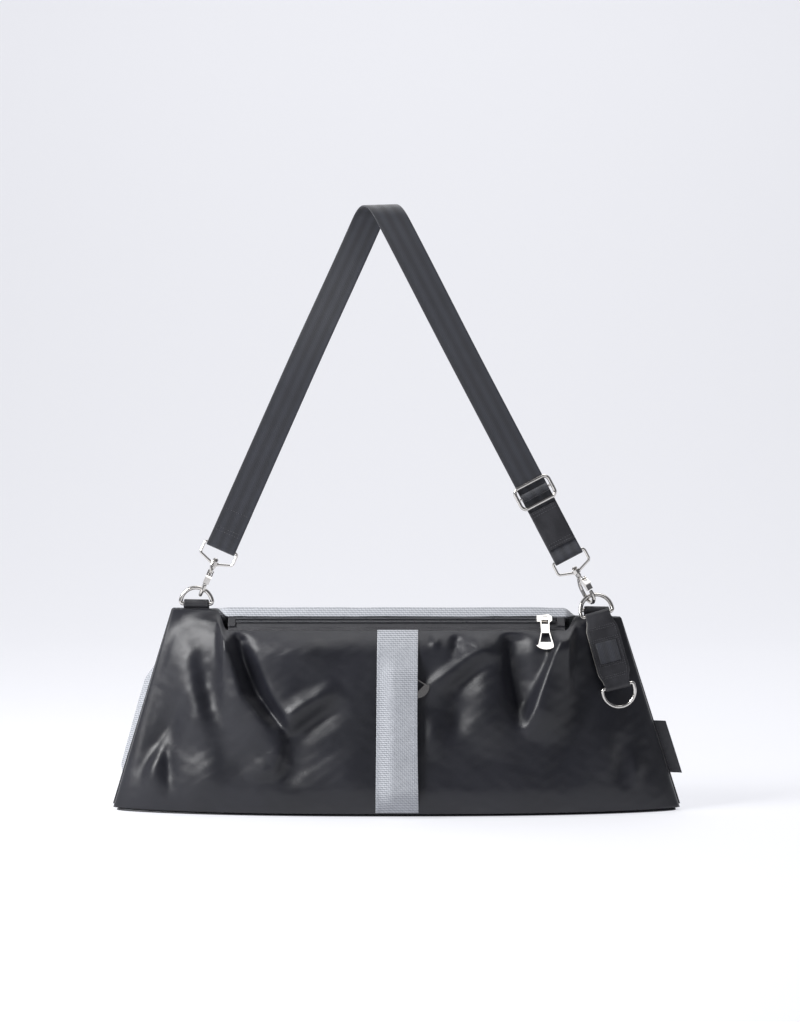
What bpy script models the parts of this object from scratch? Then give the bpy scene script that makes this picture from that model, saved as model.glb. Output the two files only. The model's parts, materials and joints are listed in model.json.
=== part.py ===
"""Shoulder bag with a zipped top, a banded front pocket, a hook-on webbing strap and a key tab.

Metres, +Z up. The origin is the middle of the flat underside. +X is the bag's right as seen
from the front, +Y points to the back.
"""

import math

import bmesh
import bpy
import numpy as np
from mathutils import Matrix, Vector

# Bag body
BOTTOM_HALF_WIDTH = 0.283
TOP_HALF_WIDTH = 0.224
BASE_SEAM_HEIGHT = 0.0026
BASE_THICKNESS = 0.0020
FABRIC = 0.0012
SEAM_GAP = 0.0025  # from the side and top seams' middle plane to either panel's outer face
FRONT_EDGE_HEIGHT = 0.1805  # the front panel's top edge, along the zip
FRONT_EDGE_DEPTH = 0.0215
CREST_HEIGHT = 0.2012  # the back panel's crest above the zip
CREST_DEPTH = 0.001
SIDE_SEAM_HEIGHT = 0.1965  # the closed top seam beyond the zip, at the middle of its slope
SIDE_SEAM_SLOPE = -0.020
LOWEST_DEPTH = 0.050  # half depth at the base seam
FULL_DEPTH = 0.060  # half depth where the wall is fullest
FULL_HEIGHT = 0.030
WALL_LEAN = 0.16  # depth lost for each metre of height above FULL_HEIGHT
SHOULDER_HEIGHT = 0.155  # where the front starts to round over to the zip
SIDE_POWER = 2.4
SIDE_ROUND = 0.7
ZIP_CORNER_START = 0.167  # the panels close from the zip to the top seam between these
ZIP_CORNER_END = 0.180
ZIP_FOLLOW_START = 0.72  # share of the height above which the front turns parallel to the zip
LINING = 0.0006
LINING_INSET = 0.0025  # at the base, from the wall's outer face
LINING_SLACK = 0.0032  # the lining stands this much further in at the top
LINING_SPAN = 0.87  # of the half width
LINING_LOW = 0.06  # share of the height at its lower edge

# Zips
ZIP_HALF_LENGTH = 0.159
ZIP_SLOPE = math.radians(52.8)  # below the horizontal, towards the front
ZIP_CHAIN_OFFSET = 0.0038  # from the back panel's edge to the chain's middle
TAPE = 0.0006
COIL_WIDTH = 0.0027
COIL_THICKNESS = 0.0019
COIL_GAP = 0.0010
RUN_GAP = 0.0003  # clearance of everything that touches or slides
SLIDER_LENGTH = 0.0150
SLIDER_WIDTH = 0.0100
PLATE = 0.0013
POST_HALF = 0.0002
BRIDGE_HALF = 0.0033
BRIDGE_WIRE = 0.0006
PULLER_LENGTH = 0.0340
POCKET_PULLER_LENGTH = 0.0300
PULLER_WIDTH = 0.0150
PULLER_NECK = 0.0090
PULLER_THICKNESS = 0.0018
PULLER_DROP = 0.83  # share of the puller's length by which it hangs below its eye
STOP_LENGTH = 0.0075
POCKET_ZIP_X = 0.006
POCKET_ZIP_TOP = FRONT_EDGE_HEIGHT - 0.0275
POCKET_ZIP_LENGTH = POCKET_ZIP_TOP - 0.032
POCKET_SLOT_WIDTH = 0.0120
POCKET_TAPE_WIDTH = 0.0110
BAND_X = 0.001
BAND_WIDTH = 0.041
BAND_STAND_OFF = 0.0066
BAND_LOW = 0.0045  # height of its lower end
BAND_LIFT_LOW = 0.12  # shares of its length over which it leaves the front
BAND_LIFT_HIGH = 0.10
POCKET_DROP = 0.0008  # the pocket zip lies this much further behind the wall

# Strap anchors
WEBBING_WIDTH = 0.030
WEBBING = 0.0014
ANCHOR_X = 0.200
ANCHOR_HEIGHT = 0.202  # the ring hinge line over the middle of the bag
ANCHOR_SLOPE = -0.0175
RING_RADIUS = 0.0159
RING_WIRE = 0.0021
RING_CORNER = 0.0023
LOOP_WIDTH = 0.0255
LEATHER = 0.0020
LOOP_TAB_LENGTH = 0.016
LOOP_TAB_THICKNESS = 0.0015

# Strap
STRAP_LEAN = math.radians(1.9)  # the whole triangle leans to the left
STRAP_HALF_ANGLE = math.radians(25.8)
CREST_RADIUS = 0.020
CREST_EASE = 0.150  # length over which a leg leaves the crest's width
HOOK_WIRE = 0.0020
HOOK_EYE_RADIUS = 0.0060
HOOK_SEAT = 0.0014  # from the ring wire's middle up to the middle of the hook's round
SWIVEL_HEIGHT = 0.028  # the bail's collar over the ring wire
COLLAR_LENGTH = 0.0040
COLLAR_RADIUS = 0.0040
SHANK_RADIUS = 0.0016
BAIL_WIRE = 0.0015
BAIL_BAR_HEIGHT = 0.0455
BAIL_HALF_WIDTH = WEBBING_WIDTH / 2 + 0.0025
BAIL_SIDE = 0.0120
RETURN_LENGTH = 0.042
SLIDE_DISTANCE = 0.0716  # from the right bail's bar to the slide's middle
SLIDE_WIDTH = WEBBING_WIDTH + 0.0075
SLIDE_HEIGHT = 0.0225
SLIDE_WIRE = 0.0018
SLIDE_BAR_RADIUS = 0.0014
PATCH_LENGTH = 0.0420
PATCH_THICKNESS = 0.0014
GATE_WIDTH = 0.0060
GATE_SLOT = 0.0042
PIN_RADIUS = 0.0008
SPRING_RADIUS = 0.00140
SPRING_WIRE = 0.00018
LUG_THICKNESS = 0.0016

# Key tab
KEY_X = 0.2000
KEY_HEIGHT = 0.1950
KEY_DEPTH = 0.0106
KEY_LEAN = math.radians(14.5)
KEY_RING_WIRE = 0.0017
KEY_RING_SIDE = 0.0050
KEY_TAB_WIDTH = 0.031
KEY_LOOP_WIDTH = 0.0250
KEY_TAB_LENGTH = 0.072
KEY_LEATHER = 0.0014
KEY_LOWER_TILT = math.radians(4.0)
KEY_HANG_EASE = 0.0022  # the lower ring may hang this much nearer to the front than the tab

LABEL_WIDTH = 0.016
LABEL_HEIGHT = 0.052
LABEL_THICKNESS = 0.0008
LABEL_MIDDLE = 0.063  # height of its middle on the side seam

BLACK_NYLON = (0.020, 0.020, 0.026)
GREY_WEAVE = (0.40, 0.42, 0.46)
BLACK_LEATHER = (0.012, 0.012, 0.015)
BLACK_WEBBING = (0.014, 0.015, 0.020)
NICKEL = (0.72, 0.70, 0.68)


def clear_scene():
    for thing in list(bpy.data.objects):
        bpy.data.objects.remove(thing, do_unlink=True)


def new_collection(name):
    group = bpy.data.collections.new(name)
    bpy.context.scene.collection.children.link(group)
    return group


def material(name, color, roughness, metallic):
    made = bpy.data.materials.new(name)
    made.use_nodes = True
    shader = made.node_tree.nodes["Principled BSDF"]
    shader.inputs["Base Color"].default_value = (*color, 1.0)
    shader.inputs["Roughness"].default_value = roughness
    shader.inputs["Metallic"].default_value = metallic
    return made


def finish_object(name, data, finish, matrix=None, group=None):
    """Link the data as a named object with its own material, at the matrix."""
    thing = bpy.data.objects.new(name, data)
    if finish is not None:
        data.materials.append(material(name + "_finish", *finish))
    if matrix is not None:
        thing.matrix_world = matrix
    (group or PARTS).objects.link(thing)
    return thing


def make_cutter(thing):
    """Move an object to the cutters, out of the model."""
    for group in list(thing.users_collection):
        group.objects.unlink(thing)
    CUTTERS.objects.link(thing)
    thing.hide_render = True
    thing.display_type = "WIRE"
    return thing


def boolean(thing, other, operation):
    made = thing.modifiers.new(operation.lower() + "_" + other.name, "BOOLEAN")
    made.operation = operation
    made.solver = "EXACT"
    made.object = make_cutter(other)


def frame(origin, x_axis, z_axis):
    """Matrix of a right-handed frame from its origin, X axis and Z axis."""
    x_axis = Vector(x_axis).normalized()
    z_axis = Vector(z_axis).normalized()
    y_axis = z_axis.cross(x_axis)
    made = Matrix((x_axis, y_axis, z_axis)).transposed().to_4x4()
    made.translation = Vector(origin)
    return made


def sheet(name, columns, rows, place, thickness, finish, offset=-1.0, matrix=None):
    """Open grid whose point (u, v), both 0 to 1, is moved to place(u, v), then given a thickness."""
    grid = bmesh.new()
    bmesh.ops.create_grid(grid, x_segments=columns, y_segments=rows, size=0.5)
    for vertex in grid.verts:
        vertex.co = Vector(place(vertex.co.x + 0.5, vertex.co.y + 0.5))
    mesh = bpy.data.meshes.new(name)
    grid.to_mesh(mesh)
    grid.free()
    mesh.shade_smooth()
    thing = finish_object(name, mesh, finish, matrix)
    wall = thing.modifiers.new("wall", "SOLIDIFY")
    wall.thickness = thickness
    wall.offset = offset
    return thing


def box(name, low, high, finish, matrix=None, bevel=0.0):
    """Box between two corners of the local frame."""
    low = Vector(low)
    high = Vector(high)
    solid = bmesh.new()
    bmesh.ops.create_cube(solid, size=1.0)
    for vertex in solid.verts:
        share = vertex.co + Vector((0.5, 0.5, 0.5))
        vertex.co = Vector(low[axis] + (high[axis] - low[axis]) * share[axis] for axis in range(3))
    mesh = bpy.data.meshes.new(name)
    solid.to_mesh(mesh)
    solid.free()
    thing = finish_object(name, mesh, finish, matrix)
    if bevel:
        edge = thing.modifiers.new("edge", "BEVEL")
        edge.width = bevel
        edge.segments = 1
    return thing


def cylinder(name, radius, low, high, finish, matrix=None, sides=16):
    """Cylinder along the local Z axis from low to high."""
    solid = bmesh.new()
    bmesh.ops.create_cone(solid, cap_ends=True, segments=sides, radius1=radius, radius2=radius,
                          depth=high - low)
    bmesh.ops.translate(solid, verts=solid.verts, vec=(0.0, 0.0, (high + low) / 2))
    mesh = bpy.data.meshes.new(name)
    solid.to_mesh(mesh)
    solid.free()
    mesh.shade_smooth()
    mesh.set_sharp_from_angle(angle=math.radians(40))
    return finish_object(name, mesh, finish, matrix)


def wire(name, points, radius, finish, matrix=None, cyclic=False, scales=None, resolution=2):
    """Round wire through the points of the local frame."""
    curve = bpy.data.curves.new(name, "CURVE")
    curve.dimensions = "3D"
    curve.bevel_depth = radius
    curve.bevel_resolution = resolution
    curve.use_fill_caps = not cyclic
    spline = curve.splines.new("POLY")
    spline.points.add(len(points) - 1)
    for index, point in enumerate(points):
        spline.points[index].co = (*point, 1.0)
        spline.points[index].radius = 1.0 if scales is None else scales[index]
    spline.use_cyclic_u = cyclic
    return finish_object(name, curve, finish, matrix)


def plate(name, outlines, thickness, finish, matrix=None):
    """Flat outlines of the local XY plane, later ones as holes, made thick along local Z."""
    curve = bpy.data.curves.new(name, "CURVE")
    curve.dimensions = "2D"
    curve.fill_mode = "BOTH"
    curve.extrude = thickness / 2
    for outline in outlines:
        spline = curve.splines.new("POLY")
        spline.points.add(len(outline) - 1)
        for index, point in enumerate(outline):
            spline.points[index].co = (point[0], point[1], 0.0, 1.0)
        spline.use_cyclic_u = True
    return finish_object(name, curve, finish, matrix)


def as_mesh(thing):
    """Replace a curve object by a mesh of the same shape, with its caps welded."""
    depsgraph = bpy.context.evaluated_depsgraph_get()
    mesh = bpy.data.meshes.new_from_object(thing.evaluated_get(depsgraph))
    solid = bmesh.new()
    solid.from_mesh(mesh)
    bmesh.ops.remove_doubles(solid, verts=solid.verts, dist=0.000002)
    bmesh.ops.recalc_face_normals(solid, faces=solid.faces)
    solid.to_mesh(mesh)
    solid.free()
    name = thing.name
    group = thing.users_collection[0]
    made_matrix = thing.matrix_world.copy()
    bpy.data.objects.remove(thing, do_unlink=True)
    made = bpy.data.objects.new(name, mesh)
    made.matrix_world = made_matrix
    group.objects.link(made)
    return made


def arc(centre, radius, start, end, steps):
    """Points of an arc in a plane, angles in degrees."""
    angles = np.radians(np.linspace(start, end, steps + 1))
    return [(centre[0] + radius * math.cos(a), centre[1] + radius * math.sin(a)) for a in angles]


def smooth(value, start, end):
    """0 before start, 1 after end, and an even ease between."""
    share = min(max((value - start) / (end - start), 0.0), 1.0)
    return share * share * (3 - 2 * share)


def carry(name, origin, pieces):
    """Empty on a joint's axis that the pieces are parented to."""
    holder = bpy.data.objects.new(name, None)
    holder.empty_display_size = 0.01
    holder.matrix_world = Matrix.Translation(Vector(origin))
    PARTS.objects.link(holder)
    for piece in pieces:
        piece.parent = holder
        piece.matrix_parent_inverse = Matrix.Translation(-Vector(origin))
    return holder


def side_seam_height(x):
    return SIDE_SEAM_HEIGHT + SIDE_SEAM_SLOPE * x


def wall_depth(z):
    """Half depth of the bag's middle section at a height: a leaning line, rounded in at both ends."""
    depth = FULL_DEPTH - WALL_LEAN * (z - FULL_HEIGHT)
    if z > SHOULDER_HEIGHT:
        rise = FRONT_EDGE_HEIGHT - SHOULDER_HEIGHT
        lost = FULL_DEPTH - WALL_LEAN * (FRONT_EDGE_HEIGHT - FULL_HEIGHT) - FRONT_EDGE_DEPTH
        depth -= lost * ((z - SHOULDER_HEIGHT) / rise) ** 2
    if z < FULL_HEIGHT:
        fall = FULL_HEIGHT - BASE_SEAM_HEIGHT
        lost = FULL_DEPTH + WALL_LEAN * fall - LOWEST_DEPTH
        depth -= lost * ((FULL_HEIGHT - z) / fall) ** 2
    return depth


def side_share(u):
    """Share of the depth left at u, the place across the half width: 1 at the middle, 0 at the seam."""
    return max(1.0 - abs(u) ** SIDE_POWER, 0.0) ** SIDE_ROUND


def half_width(v):
    return BOTTOM_HALF_WIDTH + (TOP_HALF_WIDTH - BOTTOM_HALF_WIDTH) * v


def wall_point(u, v, edge_height, follow=0.0):
    """Point of a wall at u across (-1 to 1) and v up (0 to 1): x, depth, z.

    Follow is how far the wall is drawn straight along the zip, 0 to 1.
    """
    x = u * half_width(v)
    corner = smooth(abs(x), ZIP_CORNER_START, ZIP_CORNER_END)
    top = edge_height + (side_seam_height(x) - edge_height) * corner
    level = BASE_SEAM_HEIGHT + (FRONT_EDGE_HEIGHT - BASE_SEAM_HEIGHT) * v
    share = side_share(u)
    share += (1.0 - share) * follow * (1.0 - corner)
    depth = wall_depth(level) * share * (1.0 - corner * v ** 4) + SEAM_GAP
    return x, depth, BASE_SEAM_HEIGHT + (top - BASE_SEAM_HEIGHT) * v


def front_wall(u, v):
    """Point of the front wall, its depth positive."""
    return wall_point(u, v, FRONT_EDGE_HEIGHT, smooth(v, ZIP_FOLLOW_START, 1.0))


def front_depth(x, z):
    """Depth of the front wall at a place on it, found from its own formula."""
    v = 0.5
    for _ in range(30):
        height = front_wall(x / half_width(v), v)[2]
        v = min(max(v + (z - height) / FRONT_EDGE_HEIGHT, 0.0), 1.0)
    return front_wall(x / half_width(v), v)[1]


ZIP_DOWN = Vector((0.0, -math.cos(ZIP_SLOPE), -math.sin(ZIP_SLOPE)))
FRONT_EDGE = Vector((0.0, -FRONT_EDGE_DEPTH - SEAM_GAP, FRONT_EDGE_HEIGHT))
ZIP_SPAN = 0.0157  # between the back panel's edge and the front panel's, along the slope
BACK_EDGE = FRONT_EDGE - ZIP_DOWN * ZIP_SPAN
ZIP_MIDDLE = BACK_EDGE + ZIP_DOWN * ZIP_CHAIN_OFFSET


def spread(share):
    """Grid lines crowded towards both sides, where the walls turn fastest."""
    return math.sin((2.0 * share - 1.0) * math.pi / 2)


def front_point(u, v):
    x, depth, z = front_wall(spread(u), v)
    return x, -depth, z


CREST_SHARE = 0.86  # rows of the back wall below its crest


def back_rise(across, rise):
    """The back wall from the base seam (rise 0) up to its crest (rise 1)."""
    x, depth, z = wall_point(across, rise, CREST_HEIGHT)
    corner = smooth(abs(x), ZIP_CORNER_START, ZIP_CORNER_END)
    crest_depth = CREST_DEPTH + (SEAM_GAP + 0.0022 - CREST_DEPTH) * corner
    return x, depth + (crest_depth - depth) * rise ** 6, z


def back_point(u, v):
    """The back wall up to the crest, then over it to the edge above the zip."""
    across = -spread(u)
    x, y, z = back_rise(across, min(v / CREST_SHARE, 1.0))
    if v > CREST_SHARE:
        corner = smooth(abs(x), ZIP_CORNER_START, ZIP_CORNER_END)
        edge_depth = BACK_EDGE.y + (SEAM_GAP - BACK_EDGE.y) * corner
        edge_height = BACK_EDGE.z + (side_seam_height(x) - BACK_EDGE.z) * corner
        over = (v - CREST_SHARE) / (1.0 - CREST_SHARE)
        y += (edge_depth - y) * over
        z += (edge_height - z) * over ** 1.6
    return x, y, z


def build_bag():
    front = sheet("front_panel", 30, 12, front_point, FABRIC, (BLACK_NYLON, 0.35, 0.0))
    slot_depth = front_depth(POCKET_ZIP_X, SHOULDER_HEIGHT)
    slot_low = POCKET_ZIP_TOP - POCKET_ZIP_LENGTH
    slot = box("pocket_slot", (POCKET_ZIP_X - POCKET_SLOT_WIDTH / 2, -0.09, slot_low),
               (POCKET_ZIP_X + POCKET_SLOT_WIDTH / 2, -slot_depth + 0.012, POCKET_ZIP_TOP), None)
    boolean(front, slot, "DIFFERENCE")
    sheet("back_panel", 30, 18, back_point, FABRIC, (GREY_WEAVE, 0.8, 0.0))

    base_line = []
    for step in range(33):
        u = math.sin(math.pi * (step / 32 - 0.5)) * 0.985
        base_line.append((u * BOTTOM_HALF_WIDTH, LOWEST_DEPTH * side_share(u) + SEAM_GAP))
    outline = [(x, -y) for x, y in base_line] + [(x, y) for x, y in reversed(base_line)]
    plate("base_panel", [outline], BASE_THICKNESS, (BLACK_NYLON, 0.4, 0.0),
          Matrix.Translation((0.0, 0.0, BASE_THICKNESS / 2)))

    def lining_front_point(u, v):
        x, depth, z = front_wall((2 * u - 1) * LINING_SPAN, LINING_LOW + 0.80 * v)
        return x, LINING_INSET + LINING_SLACK * v - depth, z

    def lining_back_point(u, v):
        x, y, z = back_rise((1 - 2 * u) * LINING_SPAN, LINING_LOW + 0.72 * v)
        return x, y - LINING_INSET - LINING_SLACK * v, z

    front_lining = sheet("lining_front", 16, 8, lining_front_point, LINING, (GREY_WEAVE, 0.7, 0.0))
    room = box("pocket_room", (POCKET_ZIP_X - 0.050, -0.09, 0.022),
               (POCKET_ZIP_X + 0.050, -0.020, 0.171), None)
    boolean(front_lining, room, "DIFFERENCE")
    sheet("lining_back", 16, 8, lining_back_point, LINING, (GREY_WEAVE, 0.7, 0.0))

    for side, name in ((-1.0, "side_seam_left"), (1.0, "side_seam_right")):
        low = BASE_SEAM_HEIGHT + 0.004
        high = side_seam_height(side * TOP_HALF_WIDTH) - 0.003
        binding = [(side * (half_width(0.02) - 0.006), low), (side * (half_width(0.02) + 0.0012), low),
                   (side * (TOP_HALF_WIDTH + 0.0012), high), (side * (TOP_HALF_WIDTH - 0.006), high)]
        if name == "side_seam_right":
            binding = label_notch(binding)
        plate(name, [binding], 2 * (SEAM_GAP - FABRIC - RUN_GAP), (BLACK_NYLON, 0.5, 0.0), UPRIGHT)


UPRIGHT = Matrix.Rotation(math.radians(90), 4, "X")  # local XY plane stood up in XZ, thickness along Y


def label_edge(z):
    """x of the right side seam's outer edge at a height."""
    low = BASE_SEAM_HEIGHT + 0.004
    high = side_seam_height(TOP_HALF_WIDTH) - 0.003
    share = (z - low) / (high - low)
    return half_width(0.02) + 0.0012 + (TOP_HALF_WIDTH - half_width(0.02)) * share


def label_notch(binding):
    """Outline of the right seam with room left for the label sewn into it."""
    low = LABEL_MIDDLE - LABEL_HEIGHT / 2 - RUN_GAP
    high = LABEL_MIDDLE + LABEL_HEIGHT / 2 + RUN_GAP
    deep = 0.0042
    notch = [(label_edge(low), low), (label_edge(low) - deep, low), (label_edge(high) - deep, high),
             (label_edge(high), high)]
    return binding[:2] + notch + binding[2:]


def build_label():
    low = LABEL_MIDDLE - LABEL_HEIGHT / 2
    high = LABEL_MIDDLE + LABEL_HEIGHT / 2
    inner = 0.0039
    outer = LABEL_WIDTH - inner
    outline = [(label_edge(low) - inner, low), (label_edge(low) + outer, low),
               (label_edge(high) + outer, high), (label_edge(high) - inner, high)]
    plate("side_label", [outline], LABEL_THICKNESS, (BLACK_NYLON, 0.7, 0.0), UPRIGHT)


def slider_parts(name, finish_matrix):
    """Slider of two plates joined by a post that runs between the two rows of coil."""
    top = COIL_THICKNESS / 2 + RUN_GAP
    bottom = -COIL_THICKNESS / 2 - RUN_GAP - TAPE - RUN_GAP
    half = SLIDER_LENGTH / 2
    nose = SLIDER_WIDTH / 2
    tail = SLIDER_WIDTH * 0.36
    outline = [(-half, -tail), (half - 0.003, -nose), (half, -nose * 0.45), (half, nose * 0.45),
               (half - 0.003, nose), (-half, tail)]
    body = as_mesh(plate(name, [outline], PLATE, None,
                         finish_matrix @ Matrix.Translation((0.0, 0.0, top + PLATE / 2))))
    lower = as_mesh(plate(name + "_lower", [outline], PLATE, None,
                          finish_matrix @ Matrix.Translation((0.0, 0.0, bottom - PLATE / 2))))
    post = box(name + "_post", (half - 0.0045, -POST_HALF, bottom - PLATE / 2),
               (half - 0.0015, POST_HALF, top + PLATE / 2), None, finish_matrix)
    reach = BRIDGE_HALF
    loop = [(-reach, top + PLATE * 0.6), (-reach, top + PLATE + 0.0022), (-reach * 0.6, top + PLATE + 0.0030),
            (reach * 0.6, top + PLATE + 0.0030), (reach, top + PLATE + 0.0022), (reach, top + PLATE * 0.6)]
    bridge = as_mesh(wire(name + "_bridge", [(x, 0.0, z) for x, z in loop], BRIDGE_WIRE, None, finish_matrix))
    for extra in (lower, post, bridge):
        boolean(body, extra, "UNION")
    body.data.materials.append(material(name + "_finish", NICKEL, 0.25, 1.0))
    return body


def puller_outline(length):
    """Flared puller with an arc at its end, hanging down local -Y from its eye at the origin."""
    neck = PULLER_NECK / 2
    foot = PULLER_WIDTH / 2
    waist = (neck * 0.92, -length * 0.45)
    heel = (foot, -length + 0.003)
    right = [heel, waist, (neck, 0.0), (neck * 0.8, 0.0016)]
    shape = [(-x, y) for x, y in reversed(right)]
    shape += arc((0.0, -length + 0.010), 0.0122, 218, 322, 8) + right
    eye = [(-0.0034, -0.0014), (0.0034, -0.0014), (0.0034, -0.0066), (-0.0034, -0.0066)]
    high = -length * 0.50
    low = -length * 0.817
    window = [(-0.0036, high), (0.0036, high), (0.0056, low), (-0.0056, low)]
    return [shape, eye, window]


def puller_lean(eye):
    """Angle from straight down at which the top puller clears the front and the band all along the zip."""
    reach = ZIP_HALF_LENGTH + PULLER_WIDTH / 2 - SLIDER_LENGTH
    steepest = 0.0
    for x in np.linspace(-reach, reach, 41):
        for drop in (0.3, 0.6, 0.8, 1.0):
            fall = PULLER_LENGTH * PULLER_DROP * drop
            z = eye.z - fall
            depth = front_depth(x, z)
            if abs(x - BAND_X) < (BAND_WIDTH + PULLER_WIDTH) / 2:
                depth += band_stand(0.5, z) + FABRIC
            needed = depth + PULLER_THICKNESS / 2 + RUN_GAP * 2 + eye.y
            steepest = max(steepest, math.atan2(needed, fall))
    return steepest


def build_top_zip():
    zip_frame = frame(ZIP_MIDDLE, (1, 0, 0), ZIP_DOWN.cross(Vector((1, 0, 0))))
    # local +Y points up the slope to the back panel, local +Z out of the bag
    half = ZIP_HALF_LENGTH
    low = -COIL_THICKNESS / 2
    inner = COIL_GAP / 2
    outer = inner + COIL_WIDTH
    box("zip_coil_back", (-half, inner, low), (half, outer, -low), (BLACK_NYLON, 0.4, 0.0), zip_frame)
    box("zip_coil_front", (-half, -outer, low), (half, -inner, -low), (BLACK_NYLON, 0.4, 0.0), zip_frame)
    under = low - RUN_GAP
    front_reach = ZIP_SPAN - ZIP_CHAIN_OFFSET - 0.0016
    back_reach = ZIP_CHAIN_OFFSET - RUN_GAP
    end = half + STOP_LENGTH
    box("zip_tape_back", (-end, inner, under - TAPE), (end, back_reach, under),
        (BLACK_NYLON, 0.8, 0.0), zip_frame)
    box("zip_tape_front", (-end, -front_reach, under - TAPE), (end, -inner, under),
        (BLACK_NYLON, 0.8, 0.0), zip_frame)
    for side, name in ((-1.0, "zip_end_left"), (1.0, "zip_end_right")):
        near = side * (half + RUN_GAP)
        far = side * end
        box(name, (min(near, far), -0.0075, under + RUN_GAP),
            (max(near, far), 0.0034, under + RUN_GAP + 0.0012), (BLACK_NYLON, 0.5, 0.0), zip_frame)
    start = zip_frame @ Matrix.Translation((half - 0.0125, 0.0, 0.0))
    slider_parts("zip_slider", start)

    over = COIL_THICKNESS / 2 + RUN_GAP + PLATE + 0.0012
    eye = start @ Vector((0.0, 0.0, over)) + Vector((0.0, -0.0030, -0.0010))
    lean = puller_lean(eye)
    out = Vector((0.0, -math.cos(lean), math.sin(lean)))
    plate("zip_puller", puller_outline(PULLER_LENGTH), PULLER_THICKNESS, (NICKEL, 0.25, 1.0),
          frame(eye, (1, 0, 0), out))


def pocket_frame():
    """Frame of the pocket zip: origin at its top, local +X to the right, +Y up the wall, +Z out."""
    high = Vector((POCKET_ZIP_X, -front_depth(POCKET_ZIP_X, SHOULDER_HEIGHT), SHOULDER_HEIGHT))
    low = Vector((POCKET_ZIP_X, -front_depth(POCKET_ZIP_X, FULL_HEIGHT + 0.005), FULL_HEIGHT + 0.005))
    up = (high - low).normalized()
    out = Vector((1, 0, 0)).cross(up)
    return frame(high + up * (POCKET_ZIP_TOP - SHOULDER_HEIGHT), (1, 0, 0), out)


def build_pocket():
    base = pocket_frame()
    under = -FABRIC - RUN_GAP - POCKET_DROP - TAPE
    middle = under + TAPE + RUN_GAP + COIL_THICKNESS / 2
    inner = COIL_GAP / 2
    for name, side in (("pocket_coil_left", -1.0), ("pocket_coil_right", 1.0)):
        near = side * inner
        far = side * (inner + COIL_WIDTH)
        box(name, (min(near, far), -POCKET_ZIP_LENGTH + 0.002, middle - COIL_THICKNESS / 2),
            (max(near, far), -0.002, middle + COIL_THICKNESS / 2), (BLACK_NYLON, 0.4, 0.0), base)
    for name, side in (("pocket_tape_left", -1.0), ("pocket_tape_right", 1.0)):
        near = side * inner
        far = side * POCKET_TAPE_WIDTH
        box(name, (min(near, far), -POCKET_ZIP_LENGTH - 0.004, under), (max(near, far), 0.004, under + TAPE),
            (BLACK_NYLON, 0.8, 0.0), base)
    start = base @ Matrix.Translation((0.0, -0.012, middle)) @ Matrix.Rotation(math.radians(90), 4, "Z")
    slider_parts("pocket_slider", start)

    def bag_point(u, v):
        hollow = 0.0060 * math.sin(math.pi * v) * math.sin(math.pi * u)
        behind = 0.0009 + 0.0016 * smooth(v, 0.0, 0.054) + hollow
        return (u - 0.5) * 0.092, 0.004 - (POCKET_ZIP_LENGTH + 0.007) * v, under - behind

    sheet("pocket_bag", 6, 18, bag_point, LINING, (GREY_WEAVE, 0.7, 0.0), 0.0, base)
    eye = base @ Matrix.Translation((0.0, -0.0120, middle + COIL_THICKNESS / 2 + RUN_GAP + PLATE + 0.0009))
    swing = Matrix.Rotation(math.radians(45), 4, "Z")
    plate("pocket_puller", puller_outline(POCKET_PULLER_LENGTH), 0.0011, (NICKEL, 0.25, 1.0), eye @ swing)


def band_stand(u, z):
    """Gap behind the band at u across it: it lifts off the front towards its free right edge."""
    share = (z - BAND_LOW) / (FRONT_EDGE_HEIGHT - BAND_LOW)
    lift = smooth(share, 0.0, BAND_LIFT_LOW) * smooth(1.0 - share, BAND_LIFT_HIGH, 2.5 * BAND_LIFT_HIGH)
    return 0.0009 + BAND_STAND_OFF * smooth(u, 0.0, 0.45) * lift


def build_band():
    """Woven band down the middle of the front, over the pocket zip, held at both ends."""
    left = BAND_X - BAND_WIDTH / 2

    def band_point(u, v):
        x = left + BAND_WIDTH * u
        z = BAND_LOW + (FRONT_EDGE_HEIGHT - BAND_LOW) * v
        return x, -front_depth(x, z) - band_stand(u, z) - FABRIC / 2, z

    sheet("front_band", 8, 16, band_point, FABRIC, (GREY_WEAVE, 0.8, 0.0), 0.0)


ANCHOR_LINE = Vector((1.0, 0.0, ANCHOR_SLOPE)).normalized()


def anchor_point(side):
    return Vector((side * ANCHOR_X, 0.0, ANCHOR_HEIGHT + ANCHOR_SLOPE * side * ANCHOR_X))


def ring_outline(radius, side, corner):
    """Closed D: a half circle over straight sides, rounded into a straight bar at the bottom."""
    if side > corner:
        right = arc((radius - corner, corner), corner, -90, 0, 3)
        round_top = arc((0.0, side), radius, 0, 180, 18)
        left = arc((corner - radius, corner), corner, 180, 270, 3)
        return right + round_top + left
    reach = math.sqrt((radius - corner) ** 2 - corner ** 2)
    turn = math.degrees(math.atan2(corner, reach))
    right = arc((reach, corner), corner, -90, turn, 4)
    round_top = arc((0.0, 0.0), radius, turn, 180 - turn, 18)[1:-1]
    left = arc((-reach, corner), corner, 180 - turn, 270, 4)
    return right + round_top + left


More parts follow.
